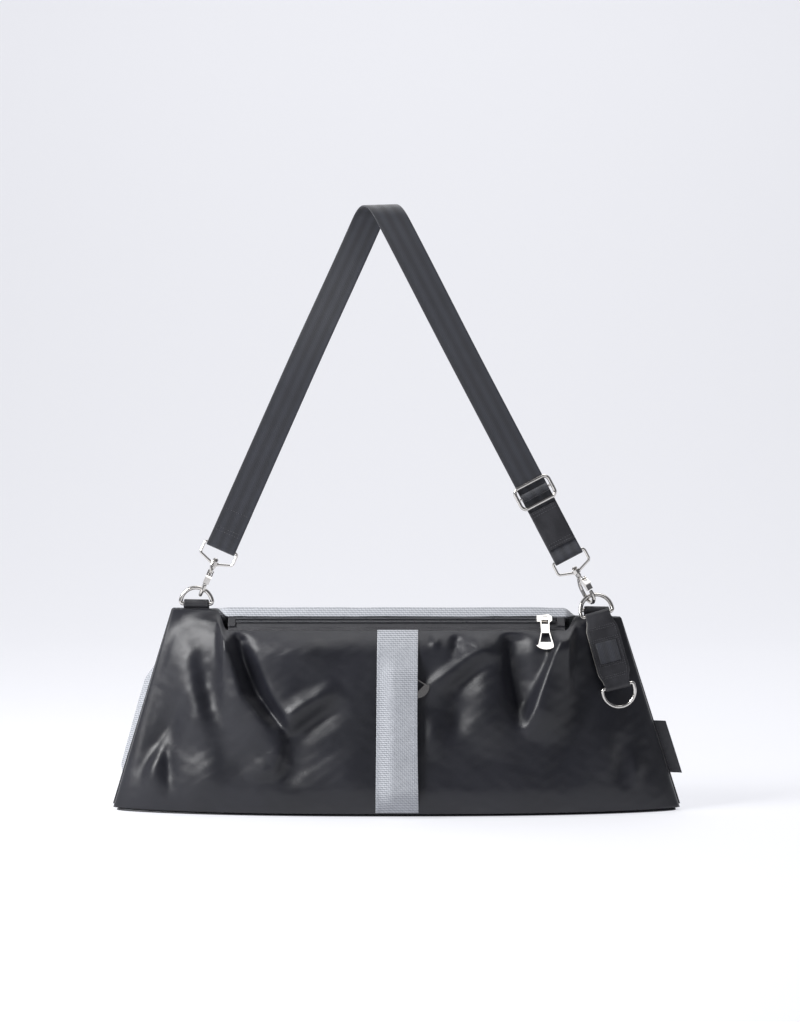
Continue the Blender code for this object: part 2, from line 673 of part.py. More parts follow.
def build_anchors():
    for side, place in ((-1.0, "left"), (1.0, "right")):
        middle = anchor_point(side)
        across = frame(middle, ANCHOR_LINE, (0, 0, 1))
        ring = ring_outline(RING_RADIUS, 0.0, RING_CORNER)
        wire("d_ring_" + place, [(x, 0.0, z) for x, z in ring], RING_WIRE, (NICKEL, 0.25, 1.0), across,
             cyclic=True)
        inner = RING_WIRE + RUN_GAP
        outer = inner + LEATHER
        half = LOOP_TAB_THICKNESS / 2
        start = math.degrees(math.asin(half / outer))
        shape = arc((0.0, 0.0), outer, -90 + start, 270 - start, 22)
        shape += [(-half, -outer - LOOP_TAB_LENGTH), (half, -outer - LOOP_TAB_LENGTH)]
        hole = arc((0.0, 0.0), inner, 0, 337.5, 15)
        turned = Matrix(((0, 0, 1, 0), (1, 0, 0, 0), (0, 1, 0, 0), (0, 0, 0, 1)))
        plate("leather_loop_" + place, [shape, hole], LOOP_WIDTH, (BLACK_LEATHER, 0.5, 0.0), across @ turned)


RIGHT_TILT = STRAP_HALF_ANGLE + STRAP_LEAN
LEFT_TILT = STRAP_HALF_ANGLE - STRAP_LEAN
UP = {"left": Vector((math.sin(LEFT_TILT), 0.0, math.cos(LEFT_TILT))),
      "right": Vector((-math.sin(RIGHT_TILT), 0.0, math.cos(RIGHT_TILT)))}
HOOK_SIDE_STEP = {"left": 0.0, "right": -(RING_WIRE + RUN_GAP / 2)}  # two rings share the right hook


def ring_seat(place):
    """Middle of the ring's wire where its round faces along the strap leg."""
    side = -1.0 if place == "left" else 1.0
    return anchor_point(side) + UP[place] * RING_RADIUS


SEAT = {place: ring_seat(place) for place in ("left", "right")}
HOOK_LINE = {place: SEAT[place] + Vector((0.0, HOOK_SIDE_STEP[place], 0.0)) for place in SEAT}
BAR = {place: HOOK_LINE[place] + UP[place] * BAIL_BAR_HEIGHT for place in SEAT}

CREST_LINE = Vector((math.cos(STRAP_LEAN), 0.0, math.sin(STRAP_LEAN)))
RISE = Vector((-math.sin(STRAP_LEAN), 0.0, math.cos(STRAP_LEAN)))
BETWEEN = BAR["right"] - BAR["left"]
LEG_SUM = BETWEEN.dot(CREST_LINE) / math.sin(STRAP_HALF_ANGLE)
LEG_DIFFERENCE = -BETWEEN.dot(RISE) / math.cos(STRAP_HALF_ANGLE)
LEG = {"right": (LEG_SUM + LEG_DIFFERENCE) / 2, "left": (LEG_SUM - LEG_DIFFERENCE) / 2}
QUARTER = math.pi * CREST_RADIUS / 2
CREST_AXIS = (BAR["left"] + CREST_LINE * (LEG["left"] * math.sin(STRAP_HALF_ANGLE))
              + RISE * (LEG["left"] * math.cos(STRAP_HALF_ANGLE) - QUARTER))


def strap_point(along, across):
    """Point of the flat strip laid over the crest: along it to the right leg, and across its width."""
    sideways = along * math.sin(STRAP_HALF_ANGLE) + across * math.cos(STRAP_HALF_ANGLE)
    round_way = along * math.cos(STRAP_HALF_ANGLE) - across * math.sin(STRAP_HALF_ANGLE)
    if abs(round_way) <= QUARTER:
        depth = -CREST_RADIUS * math.sin(round_way / CREST_RADIUS)
        height = CREST_RADIUS * math.cos(round_way / CREST_RADIUS)
    else:
        sign = math.copysign(1.0, round_way)
        height = -(abs(round_way) - QUARTER)
        ease = 0.5 + 0.5 * math.cos(math.pi * min(-height / CREST_EASE, 1.0))
        end = BAR["right"].y if sign > 0 else BAR["left"].y
        depth = end + (-sign * CREST_RADIUS - end) * ease
    point = CREST_AXIS + CREST_LINE * sideways + RISE * height
    point.y = depth
    return point


def leg_frame(place, height, stand=0.0):
    """Frame on a leg at a height above its bail bar: local +X across, +Y to the back, +Z up the leg."""
    back = Vector((0, 1, 0))
    across = back.cross(UP[place])
    return frame(BAR[place] + UP[place] * height + back * stand, across, UP[place])


FOLD_RADIUS = BAIL_WIRE + RUN_GAP + WEBBING / 2
LAYER_STEP = WEBBING + RUN_GAP
FOLD_START = 0.012


def fold_line():
    """Layers at a bail, as (depth, height): down the front, round the bar and up the back."""
    line = []
    for step in range(5):
        height = FOLD_START * (1 - step / 5)
        line.append((-FOLD_RADIUS * (1 - smooth(height, 0.0, FOLD_START)), height))
    line += [(FOLD_RADIUS * math.cos(a), FOLD_RADIUS * math.sin(a))
             for a in np.radians(np.linspace(180, 360, 9))]
    for step in range(1, 6):
        height = FOLD_START * step / 5
        line.append((FOLD_RADIUS + (LAYER_STEP - FOLD_RADIUS) * smooth(height, 0.0, FOLD_START), height))
    line.append((LAYER_STEP, RETURN_LENGTH))
    return line


def build_webbing():
    rows = []
    for depth, height in reversed(fold_line()):
        rows.append(("left", depth, height))
    rows = rows[:-1] + [("left", 0.0, FOLD_START)]
    left_end = LEG["left"] - FOLD_START * 1.4
    right_end = LEG["right"] - FOLD_START * 1.4
    turn = QUARTER / math.cos(STRAP_HALF_ANGLE) + WEBBING_WIDTH * 0.26
    marks = list(np.linspace(-left_end, -turn - CREST_EASE * 1.05, 4)[:-1])
    marks += list(np.linspace(-turn - CREST_EASE * 1.05, -turn, 10)[:-1])
    marks += list(np.linspace(-turn, turn, 21)[:-1])
    marks += list(np.linspace(turn, turn + CREST_EASE * 1.05, 10)[:-1])
    marks += list(np.linspace(turn + CREST_EASE * 1.05, right_end, 4))
    rows += [("main", 0.0, mark) for mark in marks]
    right_rows = [("right", depth, height) for depth, height in fold_line()]
    right_rows[0] = ("right", 0.0, FOLD_START)
    rows += right_rows
    count = len(rows) - 1

    def place_point(u, v):
        kind, depth, mark = rows[round(v * count)]
        across = (u - 0.5) * WEBBING_WIDTH
        if kind == "main":
            return strap_point(mark, across)
        return leg_frame(kind, 0.0) @ Vector((across, depth, mark))

    return sheet("strap_webbing", 4, count, place_point, WEBBING, (BLACK_WEBBING, 0.6, 0.0), 0.0)


def rounded_rectangle(width, height, corner, steps=3):
    half_x = width / 2 - corner
    half_z = height / 2 - corner
    line = arc((half_x, -half_z), corner, -90, 0, steps)
    line += arc((half_x, half_z), corner, 0, 90, steps)
    line += arc((-half_x, half_z), corner, 90, 180, steps)
    return line + arc((-half_x, -half_z), corner, 180, 270, steps)


def build_slide():
    stand = -(WEBBING / 2 + RUN_GAP + SLIDE_WIRE)
    place = leg_frame("right", SLIDE_DISTANCE, stand)
    ring = rounded_rectangle(SLIDE_WIDTH, SLIDE_HEIGHT, 0.0055, 4)
    frame_piece = wire("slide_frame", [(x, 0.0, z) for x, z in ring], SLIDE_WIRE, (NICKEL, 0.25, 1.0), place,
                       cyclic=True)
    reach = SLIDE_WIDTH / 2 - SLIDE_WIRE - RUN_GAP
    sideways = place @ Matrix.Rotation(math.radians(90), 4, "Y")
    bar = cylinder("slide_bar", SLIDE_BAR_RADIUS, -reach, reach, (NICKEL, 0.25, 1.0), sideways)
    top = SLIDE_BAR_RADIUS + RUN_GAP + WEBBING / 2

    def wrap_point(u, v):
        angle = math.radians(-10 + 200 * v)
        return (u - 0.5) * (WEBBING_WIDTH - 0.0008), -top * math.sin(angle), -(top + 0.0010) * math.cos(angle)

    wrap = sheet("slide_wrap", 2, 10, wrap_point, WEBBING * 0.85, (BLACK_WEBBING, 0.6, 0.0), 0.0, place)
    return frame_piece, bar, wrap


def build_patch():
    front = -(WEBBING / 2 + RUN_GAP)
    middle = leg_frame("right", FOLD_START * 1.1)
    return box("strap_patch", (-WEBBING_WIDTH / 2 + 0.0006, front - PATCH_THICKNESS, 0.0),
               (WEBBING_WIDTH / 2 - 0.0006, front, PATCH_LENGTH), (BLACK_LEATHER, 0.5, 0.0), middle, 0.0004)


def hook_frame(place, swivel):
    """Frame on the ring seat: +Z up the shank, +X from the gate to the spine, turned about the shank."""
    up = UP[place]
    back = Vector((0, 1, 0))
    spine = Matrix.Rotation(math.radians(swivel), 3, up) @ back
    return frame(HOOK_LINE[place], spine, up)


HOOK_SWIVEL = {"left": 6.0, "right": 24.0}
GATE_PIVOT = (-0.0058, 0.0186)  # across and up from the ring seat
HOOK_ROUND = HOOK_EYE_RADIUS + HOOK_WIRE


def hook_body(name, matrix):
    """Swivel head, shank, spine and round of a trigger hook, with the lug that holds its gate."""
    collar_low = SWIVEL_HEIGHT - COLLAR_LENGTH / 2
    collar_high = SWIVEL_HEIGHT + COLLAR_LENGTH / 2
    head = HOOK_WIRE * 1.5
    line = [(0.0, collar_high + 0.0038, head * 0.3), (0.0, collar_high + 0.0030, head * 0.8)]
    line += [(0.0, collar_high + 0.0016, head), (0.0, collar_high + RUN_GAP + 0.0002, head * 0.8)]
    line += [(0.0, collar_high + RUN_GAP, SHANK_RADIUS), (0.0, collar_low - RUN_GAP, SHANK_RADIUS)]
    line += [(0.0, collar_low - RUN_GAP - 0.0002, head), (0.0, collar_low - 0.0026, head * 0.95)]
    line += [(0.0014, collar_low - 0.0046, HOOK_WIRE * 1.1)]
    spine = [(0.0046, 0.0175), (0.0070, 0.0135), (HOOK_ROUND, 0.0090)]
    line += [(x, z, HOOK_WIRE) for x, z in spine]
    round_part = arc((0.0, HOOK_SEAT), HOOK_ROUND, 0, -180, 14)
    line += [(x, z, HOOK_WIRE) for x, z in round_part]
    line += [(-HOOK_ROUND, HOOK_SEAT + 0.0030, HOOK_WIRE), (-HOOK_ROUND, HOOK_SEAT + 0.0042, HOOK_WIRE * 0.8)]
    points = [(x, 0.0, z) for x, z, _ in line]
    scales = [r / HOOK_WIRE for _, _, r in line]
    body = as_mesh(wire(name, points, HOOK_WIRE, None, matrix, scales=scales))
    body.data.materials.append(material(name + "_finish", NICKEL, 0.25, 1.0))
    x, z = GATE_PIVOT
    lug_outline = [(0.0020, 0.0160), (0.0020, 0.0235), (-0.0020, 0.0235)]
    lug_outline += arc((x, z), 0.0020, 80, 270, 8) + [(x + 0.0020, z - 0.0016)]
    upright = matrix @ UPRIGHT
    lug = as_mesh(plate(name + "_lug", [lug_outline], LUG_THICKNESS, None, upright))
    hole = cylinder(name + "_hole", PIN_RADIUS + RUN_GAP, -0.005, 0.005, None,
                    matrix @ Matrix.Translation((x, 0.0, z)) @ Matrix.Rotation(math.radians(90), 4, "X"))
    boolean(body, lug, "UNION")
    boolean(body, hole, "DIFFERENCE")
    return body


def gate_parts(place, matrix):
    """Sprung gate that closes the eye: a forked lever on a pin, with a one-turn spring round the pin."""
    x, z = GATE_PIVOT
    pivot = matrix @ Matrix.Translation((x, 0.0, z))
    upright = pivot @ UPRIGHT
    foot_x = -HOOK_ROUND - x
    foot_z = HOOK_SEAT + 0.0042 + RUN_GAP - z
    sweep = math.hypot(foot_x + 0.0015, foot_z) - RUN_GAP / 2
    start = math.degrees(math.asin((foot_x - 0.0016) / sweep))
    end = math.degrees(math.asin((foot_x + 0.0015) / sweep))
    outline = arc((0.0, 0.0), 0.0022, -20, 190, 8)
    outline += [(-0.0040, -0.0035), (-0.0056, -0.0052), (-0.0052, -0.0062), (foot_x - 0.0018, -0.0066)]
    outline += arc((0.0, 0.0), sweep, start - 90, end - 90, 3)
    hole = arc((0.0, 0.0), PIN_RADIUS + RUN_GAP, 0, 324, 9)
    gate = as_mesh(plate("gate_" + place, [outline, hole], GATE_WIDTH, None, upright))
    gate.data.materials.append(material("gate_" + place + "_finish", NICKEL, 0.25, 1.0))
    slot = box("gate_slot_" + place, (-0.0040, -GATE_SLOT / 2, -0.0030),
               (0.0040, GATE_SLOT / 2, 0.0040), None, pivot)
    boolean(gate, slot, "DIFFERENCE")
    across = pivot @ Matrix.Rotation(math.radians(90), 4, "X")
    half = GATE_WIDTH / 2
    pin = cylinder("gate_pin_" + place, PIN_RADIUS, -half, half, (NICKEL, 0.3, 1.0), across, 12)
    low = LUG_THICKNESS / 2 + RUN_GAP + SPRING_WIRE
    high = low + 3.4 * SPRING_WIRE
    coil = [(SPRING_RADIUS, low, -0.0022)]
    for step in range(13):
        turn = 2 * math.pi * step / 12
        coil.append((SPRING_RADIUS * math.cos(turn), low + (high - low) * step / 12,
                     SPRING_RADIUS * math.sin(turn)))
    coil.append((SPRING_RADIUS, high, 0.0024))
    spring = wire("gate_spring_" + place, coil, SPRING_WIRE, (NICKEL, 0.3, 1.0), pivot, resolution=1)
    return gate, pin, spring


def build_bail(place):
    """Wire bail between the webbing and the swivel, with the collar that the shank turns in."""
    matrix = frame(HOOK_LINE[place], Vector((0, 1, 0)).cross(UP[place]), UP[place])
    half = BAIL_HALF_WIDTH
    bar = BAIL_BAR_HEIGHT
    corner = 0.0025
    shoulder = bar - BAIL_SIDE
    foot = SWIVEL_HEIGHT
    line = arc((half - corner, bar - corner), corner, 90, 0, 3)
    line += [(half, shoulder + 0.0010), (half - 0.0012, shoulder - 0.0010), (COLLAR_RADIUS * 0.9, foot)]
    line += [(-x, z) for x, z in reversed(line)]
    points = [(x, 0.0, z) for x, z in line]
    loop = as_mesh(wire("bail_" + place, points, BAIL_WIRE, None, matrix, cyclic=True))
    loop.data.materials.append(material("bail_" + place + "_finish", NICKEL, 0.25, 1.0))
    low = foot - COLLAR_LENGTH / 2
    high = foot + COLLAR_LENGTH / 2
    collar = cylinder("collar_" + place, COLLAR_RADIUS, low, high, None, matrix, 16)
    bore = cylinder("bore_" + place, SHANK_RADIUS + RUN_GAP, low - 0.002, high + 0.002, None, matrix, 16)
    boolean(loop, collar, "UNION")
    boolean(loop, bore, "DIFFERENCE")
    return loop


KEY_UP = Vector((-math.sin(KEY_LEAN), 0.0, math.cos(KEY_LEAN)))
KEY_BAR = Vector((KEY_X, -KEY_DEPTH, KEY_HEIGHT))
KEY_WIRE_DEPTH = RING_WIRE + KEY_RING_WIRE + RUN_GAP  # the key ring lies before the bag's ring in the hook


def key_ring_frame():
    """The upper ring leans from its bar back to the hook."""
    height = RING_RADIUS + KEY_RING_SIDE
    lean = math.asin((KEY_DEPTH - KEY_WIRE_DEPTH) / height)
    up = KEY_UP * math.cos(lean) + Vector((0, 1, 0)) * math.sin(lean)
    across = Vector((math.cos(KEY_LEAN), 0.0, math.sin(KEY_LEAN)))
    return frame(KEY_BAR, across, up)


KEY_LOOP = KEY_RING_WIRE + RUN_GAP + KEY_LEATHER / 2


def key_width(drop):
    """The tab narrows to its loops at both ends."""
    near = smooth(min(drop, KEY_TAB_LENGTH - drop), KEY_LOOP + 0.0020, 0.0160)
    return KEY_LOOP_WIDTH + (KEY_TAB_WIDTH - KEY_LOOP_WIDTH) * near


def key_line(drop, reach):
    """Depth that the key tab keeps from the middle plane at a distance below its ring."""
    place = KEY_BAR - KEY_UP * drop
    nearest = max(front_depth(min(place.x + step, half_width(place.z / FRONT_EDGE_HEIGHT) - 0.002), place.z)
                  for step in (-reach, 0.0))
    return nearest + 0.0036


def build_key_tab():
    across = Vector((math.cos(KEY_LEAN), 0.0, math.sin(KEY_LEAN)))
    ring = ring_outline(RING_RADIUS, KEY_RING_SIDE, RING_CORNER)
    upper = wire("key_ring_upper", [(x, 0.0, z) for x, z in ring], KEY_RING_WIRE, (NICKEL, 0.25, 1.0),
                 key_ring_frame(), cyclic=True)
    first = -KEY_BAR.y
    ring_drop = RING_RADIUS + KEY_RING_SIDE
    hanging = key_line(KEY_TAB_LENGTH + ring_drop * 0.7, RING_RADIUS) - KEY_HANG_EASE
    last_depth = max(key_line(KEY_TAB_LENGTH, KEY_TAB_WIDTH / 2), hanging)

    def tab_depth(drop):
        share = drop / KEY_TAB_LENGTH
        return first + (last_depth - first) * share + 0.0016 * math.sin(math.pi * share) + 0.0020 * share

    lower_bar = KEY_BAR - KEY_UP * KEY_TAB_LENGTH
    lower_bar.y = -tab_depth(KEY_TAB_LENGTH)

    def surface(sideways, drop, stand):
        point = KEY_BAR - KEY_UP * drop + across * sideways
        point.y = -tab_depth(drop) + stand
        return point

    rows = 18

    def front_layer(u, v):
        """From behind the upper bar, over it, down the front and under the lower bar."""
        step = round(v * rows)
        drop = min(max(KEY_TAB_LENGTH * (step - 4) / (rows - 8), 0.0), KEY_TAB_LENGTH)
        sideways = (u - 0.5) * key_width(drop)
        if step <= 4:
            angle = math.radians(180 * step / 4)
            return KEY_BAR + across * sideways + KEY_UP * (KEY_LOOP * math.sin(angle)) \
                + Vector((0, KEY_LOOP * math.cos(angle), 0))
        if step >= rows - 4:
            angle = math.radians(180 * (step - rows + 4) / 4)
            return lower_bar + across * sideways - KEY_UP * (KEY_LOOP * math.sin(angle)) \
                - Vector((0, KEY_LOOP * math.cos(angle), 0))
        return surface(sideways, drop, -KEY_LOOP)

    front = sheet("key_tab_front", 3, rows, front_layer, KEY_LEATHER, (BLACK_LEATHER, 0.5, 0.0), 0.0)

    def back_layer(u, v):
        drop = KEY_LOOP + 0.0022 + (KEY_TAB_LENGTH - 2 * KEY_LOOP - 0.0044) * v
        return surface((u - 0.5) * key_width(drop), drop, -KEY_LOOP + KEY_LEATHER + RUN_GAP)

    back = sheet("key_tab_back", 3, 8, back_layer, KEY_LEATHER, (BLACK_LEATHER, 0.5, 0.0), 0.0)

    def inlay_layer(u, v):
        drop = KEY_TAB_LENGTH * (0.36 + 0.34 * v)
        return surface((u - 0.5) * (KEY_TAB_WIDTH - 0.004), drop, -KEY_LOOP - KEY_LEATHER - RUN_GAP)

    inlay = sheet("key_tab_webbing", 3, 4, inlay_layer, KEY_LEATHER * 0.7, (BLACK_WEBBING, 0.6, 0.0), 0.0)

    tilt = Matrix.Rotation(KEY_LOWER_TILT, 3, across)
    lower_frame = frame(lower_bar, across, -(tilt @ KEY_UP))
    lower = wire("key_ring_lower", [(x, 0.0, z) for x, z in ring], KEY_RING_WIRE, (NICKEL, 0.25, 1.0),
                 lower_frame, cyclic=True)
    carry("key_ring_pivot", lower_bar, [lower])
    return [upper, front, back, inlay]


def report_joints():
    """Places and directions that the joints use."""
    for place in ("left", "right"):
        print("anchor", place, tuple(anchor_point(-1.0 if place == "left" else 1.0)), tuple(ANCHOR_LINE))
        print("seat", place, tuple(SEAT[place]), "up", tuple(UP[place]))
        matrix = hook_frame(place, HOOK_SWIVEL[place])
        print("gate pivot", place, tuple(matrix @ Vector((GATE_PIVOT[0], 0, GATE_PIVOT[1]))))
        print("gate axis", place, tuple(matrix.col[1][:3]))
    print("key bar", tuple(KEY_BAR), "across", (math.cos(KEY_LEAN), 0.0, math.sin(KEY_LEAN)))


def main():
    build_bag()
    build_label()
    build_top_zip()
    build_pocket()
    build_band()
    build_anchors()
    strap_pieces = [build_webbing(), build_patch(), build_bail("left"), build_bail("right")]
    strap_pieces += build_slide()
    for place in ("left", "right"):
        matrix = hook_frame(place, HOOK_SWIVEL[place])
        strap_pieces.append(hook_body("hook_" + place, matrix))
        strap_pieces += gate_parts(place, matrix)
    carry("strap_pivot", SEAT["left"], strap_pieces)
    carry("key_pivot", SEAT["right"], build_key_tab())
    report_joints()


clear_scene()
PARTS = new_collection("shoulder_bag")
CUTTERS = new_collection("cutters")
CUTTERS.hide_render = True
main()
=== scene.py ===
import json
import math

import bpy
import numpy as np
from mathutils import Matrix, Vector


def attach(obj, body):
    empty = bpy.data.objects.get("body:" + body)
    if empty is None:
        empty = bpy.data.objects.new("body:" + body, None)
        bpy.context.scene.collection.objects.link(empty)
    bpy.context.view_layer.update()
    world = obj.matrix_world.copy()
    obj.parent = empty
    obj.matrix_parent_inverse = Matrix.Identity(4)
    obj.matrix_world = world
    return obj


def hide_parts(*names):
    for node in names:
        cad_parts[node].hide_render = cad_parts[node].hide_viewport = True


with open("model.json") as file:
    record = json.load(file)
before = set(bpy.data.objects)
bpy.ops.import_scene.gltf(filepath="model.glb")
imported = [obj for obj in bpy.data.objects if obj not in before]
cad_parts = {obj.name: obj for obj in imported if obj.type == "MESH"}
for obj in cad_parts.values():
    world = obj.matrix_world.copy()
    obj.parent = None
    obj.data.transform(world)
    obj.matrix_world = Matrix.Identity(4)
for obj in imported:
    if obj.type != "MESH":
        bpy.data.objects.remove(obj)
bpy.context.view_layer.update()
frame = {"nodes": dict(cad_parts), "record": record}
print("frame loaded:", len(frame["nodes"]), "pieces")


class Sock:
    # wraps one shader output so that plain arithmetic adds Math nodes
    def __init__(self, mat, out):
        self.mat = mat
        self.out = out

    def math(self, op, other=None, clamp=False):
        return self.mat.node("ShaderNodeMath", {"operation": op, "use_clamp": clamp}, {0: self, 1: other})

    def __add__(self, other):
        return self.math("ADD", other)

    def __sub__(self, other):
        return self.math("SUBTRACT", other)

    def __rsub__(self, other):
        return self.mat.node("ShaderNodeMath", {"operation": "SUBTRACT"}, {0: other, 1: self})

    def __mul__(self, other):
        return self.math("MULTIPLY", other)

    def __mod__(self, other):
        return self.math("FLOORED_MODULO", other)

    __radd__ = __add__
    __rmul__ = __mul__


class Finish:
    # one procedural material: a Principled shader and the nodes that feed it
    def __init__(self, name, color, roughness, metallic=0.0, **fixed):
        self.made = bpy.data.materials.new(name)
        self.made.use_nodes = True
        self.tree = self.made.node_tree
        self.shader = self.tree.nodes["Principled BSDF"]
        self.shader.inputs["Base Color"].default_value = (*color, 1.0)
        self.shader.inputs["Roughness"].default_value = roughness
        self.shader.inputs["Metallic"].default_value = metallic
        for socket, value in fixed.items():
            self.shader.inputs[socket.replace("_", " ")].default_value = value

    def node(self, kind, settings, inputs, output=0):
        made = self.tree.nodes.new(kind)
        for key, value in settings.items():
            setattr(made, key, value)
        for key, value in inputs.items():
            if value is None:
                continue
            socket = made.inputs[key]
            if isinstance(value, Sock):
                self.tree.links.new(value.out, socket)
            else:
                socket.default_value = value
        return Sock(self, made.outputs[output])

    def place(self, kind="Object"):
        return self.node("ShaderNodeTexCoord", {}, {}, kind)

    def along(self, vector, axis):
        return self.node("ShaderNodeSeparateXYZ", {}, {0: vector}, axis)

    def noise(self, vector, scale, detail=3.0, rough=0.5):
        inputs = {"Vector": vector, "Scale": scale, "Detail": detail, "Roughness": rough}
        return self.node("ShaderNodeTexNoise", {}, inputs, "Fac")

    def wave(self, value, pitch):
        # 0 to 1 and back once in each pitch
        return (value * (2 * math.pi / pitch)).math("SINE") * 0.5 + 0.5

    def ramp(self, value, low, high, toLow=0.0, toHigh=1.0):
        return self.node("ShaderNodeMapRange", {"clamp": True},
                         {0: value, 1: low, 2: high, 3: toLow, 4: toHigh})

    def mix(self, factor, first, second):
        made = self.tree.nodes.new("ShaderNodeMix")
        made.data_type = "RGBA"
        for index, value in ((0, factor), (6, first), (7, second)):
            if isinstance(value, Sock):
                self.tree.links.new(value.out, made.inputs[index])
            elif index:
                made.inputs[index].default_value = (*value, 1.0)
            else:
                made.inputs[index].default_value = value
        return Sock(self, made.outputs[2])

    def feed(self, socket, value):
        self.tree.links.new(value.out, self.shader.inputs[socket])

    def bump(self, height, distance, strength=1.0):
        inputs = {"Strength": strength, "Distance": distance, "Height": height}
        self.feed("Normal", self.node("ShaderNodeBump", {}, inputs, "Normal"))


def blackNylon():
    # smooth twill: fine diagonal lines and slow changes of sheen
    look = Finish("blackNylon", (0.012, 0.012, 0.016), 0.46, Sheen_Weight=0.08, Sheen_Roughness=0.35,
                  Specular_IOR_Level=0.45)
    place = look.place()
    x = look.along(place, "X")
    z = look.along(place, "Z")
    twill = look.wave(x + z * 0.9, 0.0007)
    slow = look.noise(place, 14.0, 4.0, 0.55)
    cloud = look.noise(place, 90.0, 3.0)
    patches = look.ramp(slow, 0.35, 0.65)
    look.feed("Base Color", look.mix(patches, (0.0075, 0.008, 0.0115), (0.012, 0.0125, 0.018)))
    look.feed("Roughness", look.ramp(slow + twill * 0.06, 0.3, 0.8, 0.34, 0.46))
    look.bump(twill * 0.5 + cloud * 0.8, 0.00010, 0.55)
    return look.made


def greyWeave(name, axes):
    # coarse basket weave: threads over and under in turn along the two axes of the cloth
    look = Finish(name, (0.50, 0.52, 0.57), 0.75, Sheen_Weight=0.2, Sheen_Roughness=0.5)
    if axes == "UV":
        place = look.place("UV")
        a = look.along(place, "X")
        b = look.along(place, "Y")
    else:
        place = look.place()
        a = look.along(place, axes[0])
        b = look.along(place, axes[1])
    pitch = 0.0019
    warp = look.wave(a, pitch)
    weft = look.wave(b, pitch)
    over = look.wave(a + b, pitch * 2) * look.wave(a - b, pitch * 2)
    threads = warp * over + weft * (1 - over)
    uneven = look.noise(look.place(), 260.0, 2.0)
    slub = look.noise(look.place(), 35.0, 3.0)
    light = look.ramp(threads * 0.8 + uneven * 0.35 + slub * 0.15, 0.25, 0.95)
    look.feed("Base Color", look.mix(light, (0.17, 0.18, 0.20), (0.44, 0.455, 0.49)))
    look.feed("Roughness", look.ramp(threads, 0.0, 1.0, 0.85, 0.65))
    look.bump(threads + uneven * 0.3, 0.00022, 0.8)
    return look.made


def webbingBlack():
    # ribbed webbing on its own UV: cross ribs in chevrons, and broad lengthwise lanes
    look = Finish("webbingBlack", (0.020, 0.021, 0.028), 0.52, Sheen_Weight=0.35, Sheen_Roughness=0.4)
    place = look.place("UV")
    across = look.along(place, "X")
    length = look.along(place, "Y")
    lane = look.wave(across, 0.0100)
    chevron = look.wave(length + (across % 0.0016) * 0.6, 0.0011)
    cords = look.wave(across, 0.0016)
    slow = look.noise(look.place(), 40.0, 3.0)
    light = look.ramp(lane * 0.5 + slow * 0.6, 0.3, 0.9)
    look.feed("Base Color", look.mix(light, (0.010, 0.011, 0.016), (0.022, 0.024, 0.033)))
    look.feed("Roughness", look.ramp(chevron * 0.5 + lane * 0.5, 0.0, 1.0, 0.60, 0.42))
    look.bump(chevron * 0.7 + cords * 0.3, 0.00016, 0.8)
    return look.made


def blackLeather():
    # fine pebble grain, a little glossier where it is rubbed
    look = Finish("blackLeather", (0.016, 0.016, 0.019), 0.42, Specular_IOR_Level=0.5)
    place = look.place()
    grain = look.node("ShaderNodeTexVoronoi", {"feature": "DISTANCE_TO_EDGE"},
                      {"Vector": place, "Scale": 900.0}, "Distance")
    fine = look.noise(place, 700.0, 4.0)
    slow = look.noise(place, 60.0, 3.0)
    rubbed = look.ramp(slow, 0.35, 0.7)
    look.feed("Base Color", look.mix(rubbed, (0.012, 0.012, 0.015), (0.024, 0.024, 0.029)))
    look.feed("Roughness", look.ramp(slow + fine * 0.3, 0.4, 1.0, 0.36, 0.52))
    look.bump(look.ramp(grain, 0.0, 0.3) * 0.7 + fine * 0.5, 0.00012, 0.7)
    return look.made


def paintedEdgeHighlight():
    # pale grey edge of the leather, rougher than its face: its grey is a painted highlight where the light from
    # the left catches the tab's left edge
    look = Finish("paintedEdgeHighlight", (0.20, 0.19, 0.18), 0.7)
    place = look.place()
    fibre = look.noise(place, 1200.0, 3.0)
    look.feed("Base Color", look.mix(look.ramp(fibre, 0.3, 0.7), (0.10, 0.095, 0.09), (0.30, 0.29, 0.27)))
    look.bump(fibre, 0.0001, 0.6)
    return look.made


def polishedNickel():
    # bright plate with faint buffing and a few dull spots
    look = Finish("polishedNickel", (0.80, 0.775, 0.745), 0.16, metallic=1.0)
    place = look.place()
    buff = look.noise(place, 420.0, 4.0, 0.6)
    dull = look.noise(place, 70.0, 3.0)
    look.feed("Base Color", look.mix(look.ramp(dull, 0.4, 0.75), (0.66, 0.64, 0.615), (0.53, 0.51, 0.485)))
    look.feed("Roughness", look.ramp(buff * 0.5 + dull * 0.5, 0.3, 0.75, 0.10, 0.26))
    look.bump(buff, 0.00002, 0.4)
    return look.made


def zipNylon():
    # moulded black coil; its colour is lifted to a dark grey, a painted highlight standing in for the glints
    # along the teeth
    look = Finish("zipNylon", (0.045, 0.046, 0.052), 0.32)
    slow = look.noise(look.place(), 300.0, 2.0)
    # dark grey instead of black: painted highlight for the glints on the teeth, varied at random
    look.feed("Base Color", look.mix(slow, (0.060, 0.062, 0.070), (0.10, 0.102, 0.112)))
    look.feed("Roughness", look.ramp(slow, 0.3, 0.7, 0.26, 0.40))
    return look.made


def tapeCloth():
    # close herringbone of the zip tape
    look = Finish("tapeCloth", (0.022, 0.022, 0.027), 0.7, Sheen_Weight=0.2)
    place = look.place()
    x = look.along(place, "X")
    z = look.along(place, "Z")
    bone = look.wave(x + (z % 0.0024) * 0.8, 0.0010)
    uneven = look.noise(place, 300.0, 2.0)
    look.feed("Base Color", look.mix(bone, (0.016, 0.016, 0.020), (0.032, 0.032, 0.038)))
    look.feed("Roughness", look.ramp(uneven, 0.3, 0.7, 0.62, 0.78))
    look.bump(bone + uneven * 0.4, 0.00012, 0.7)
    return look.made


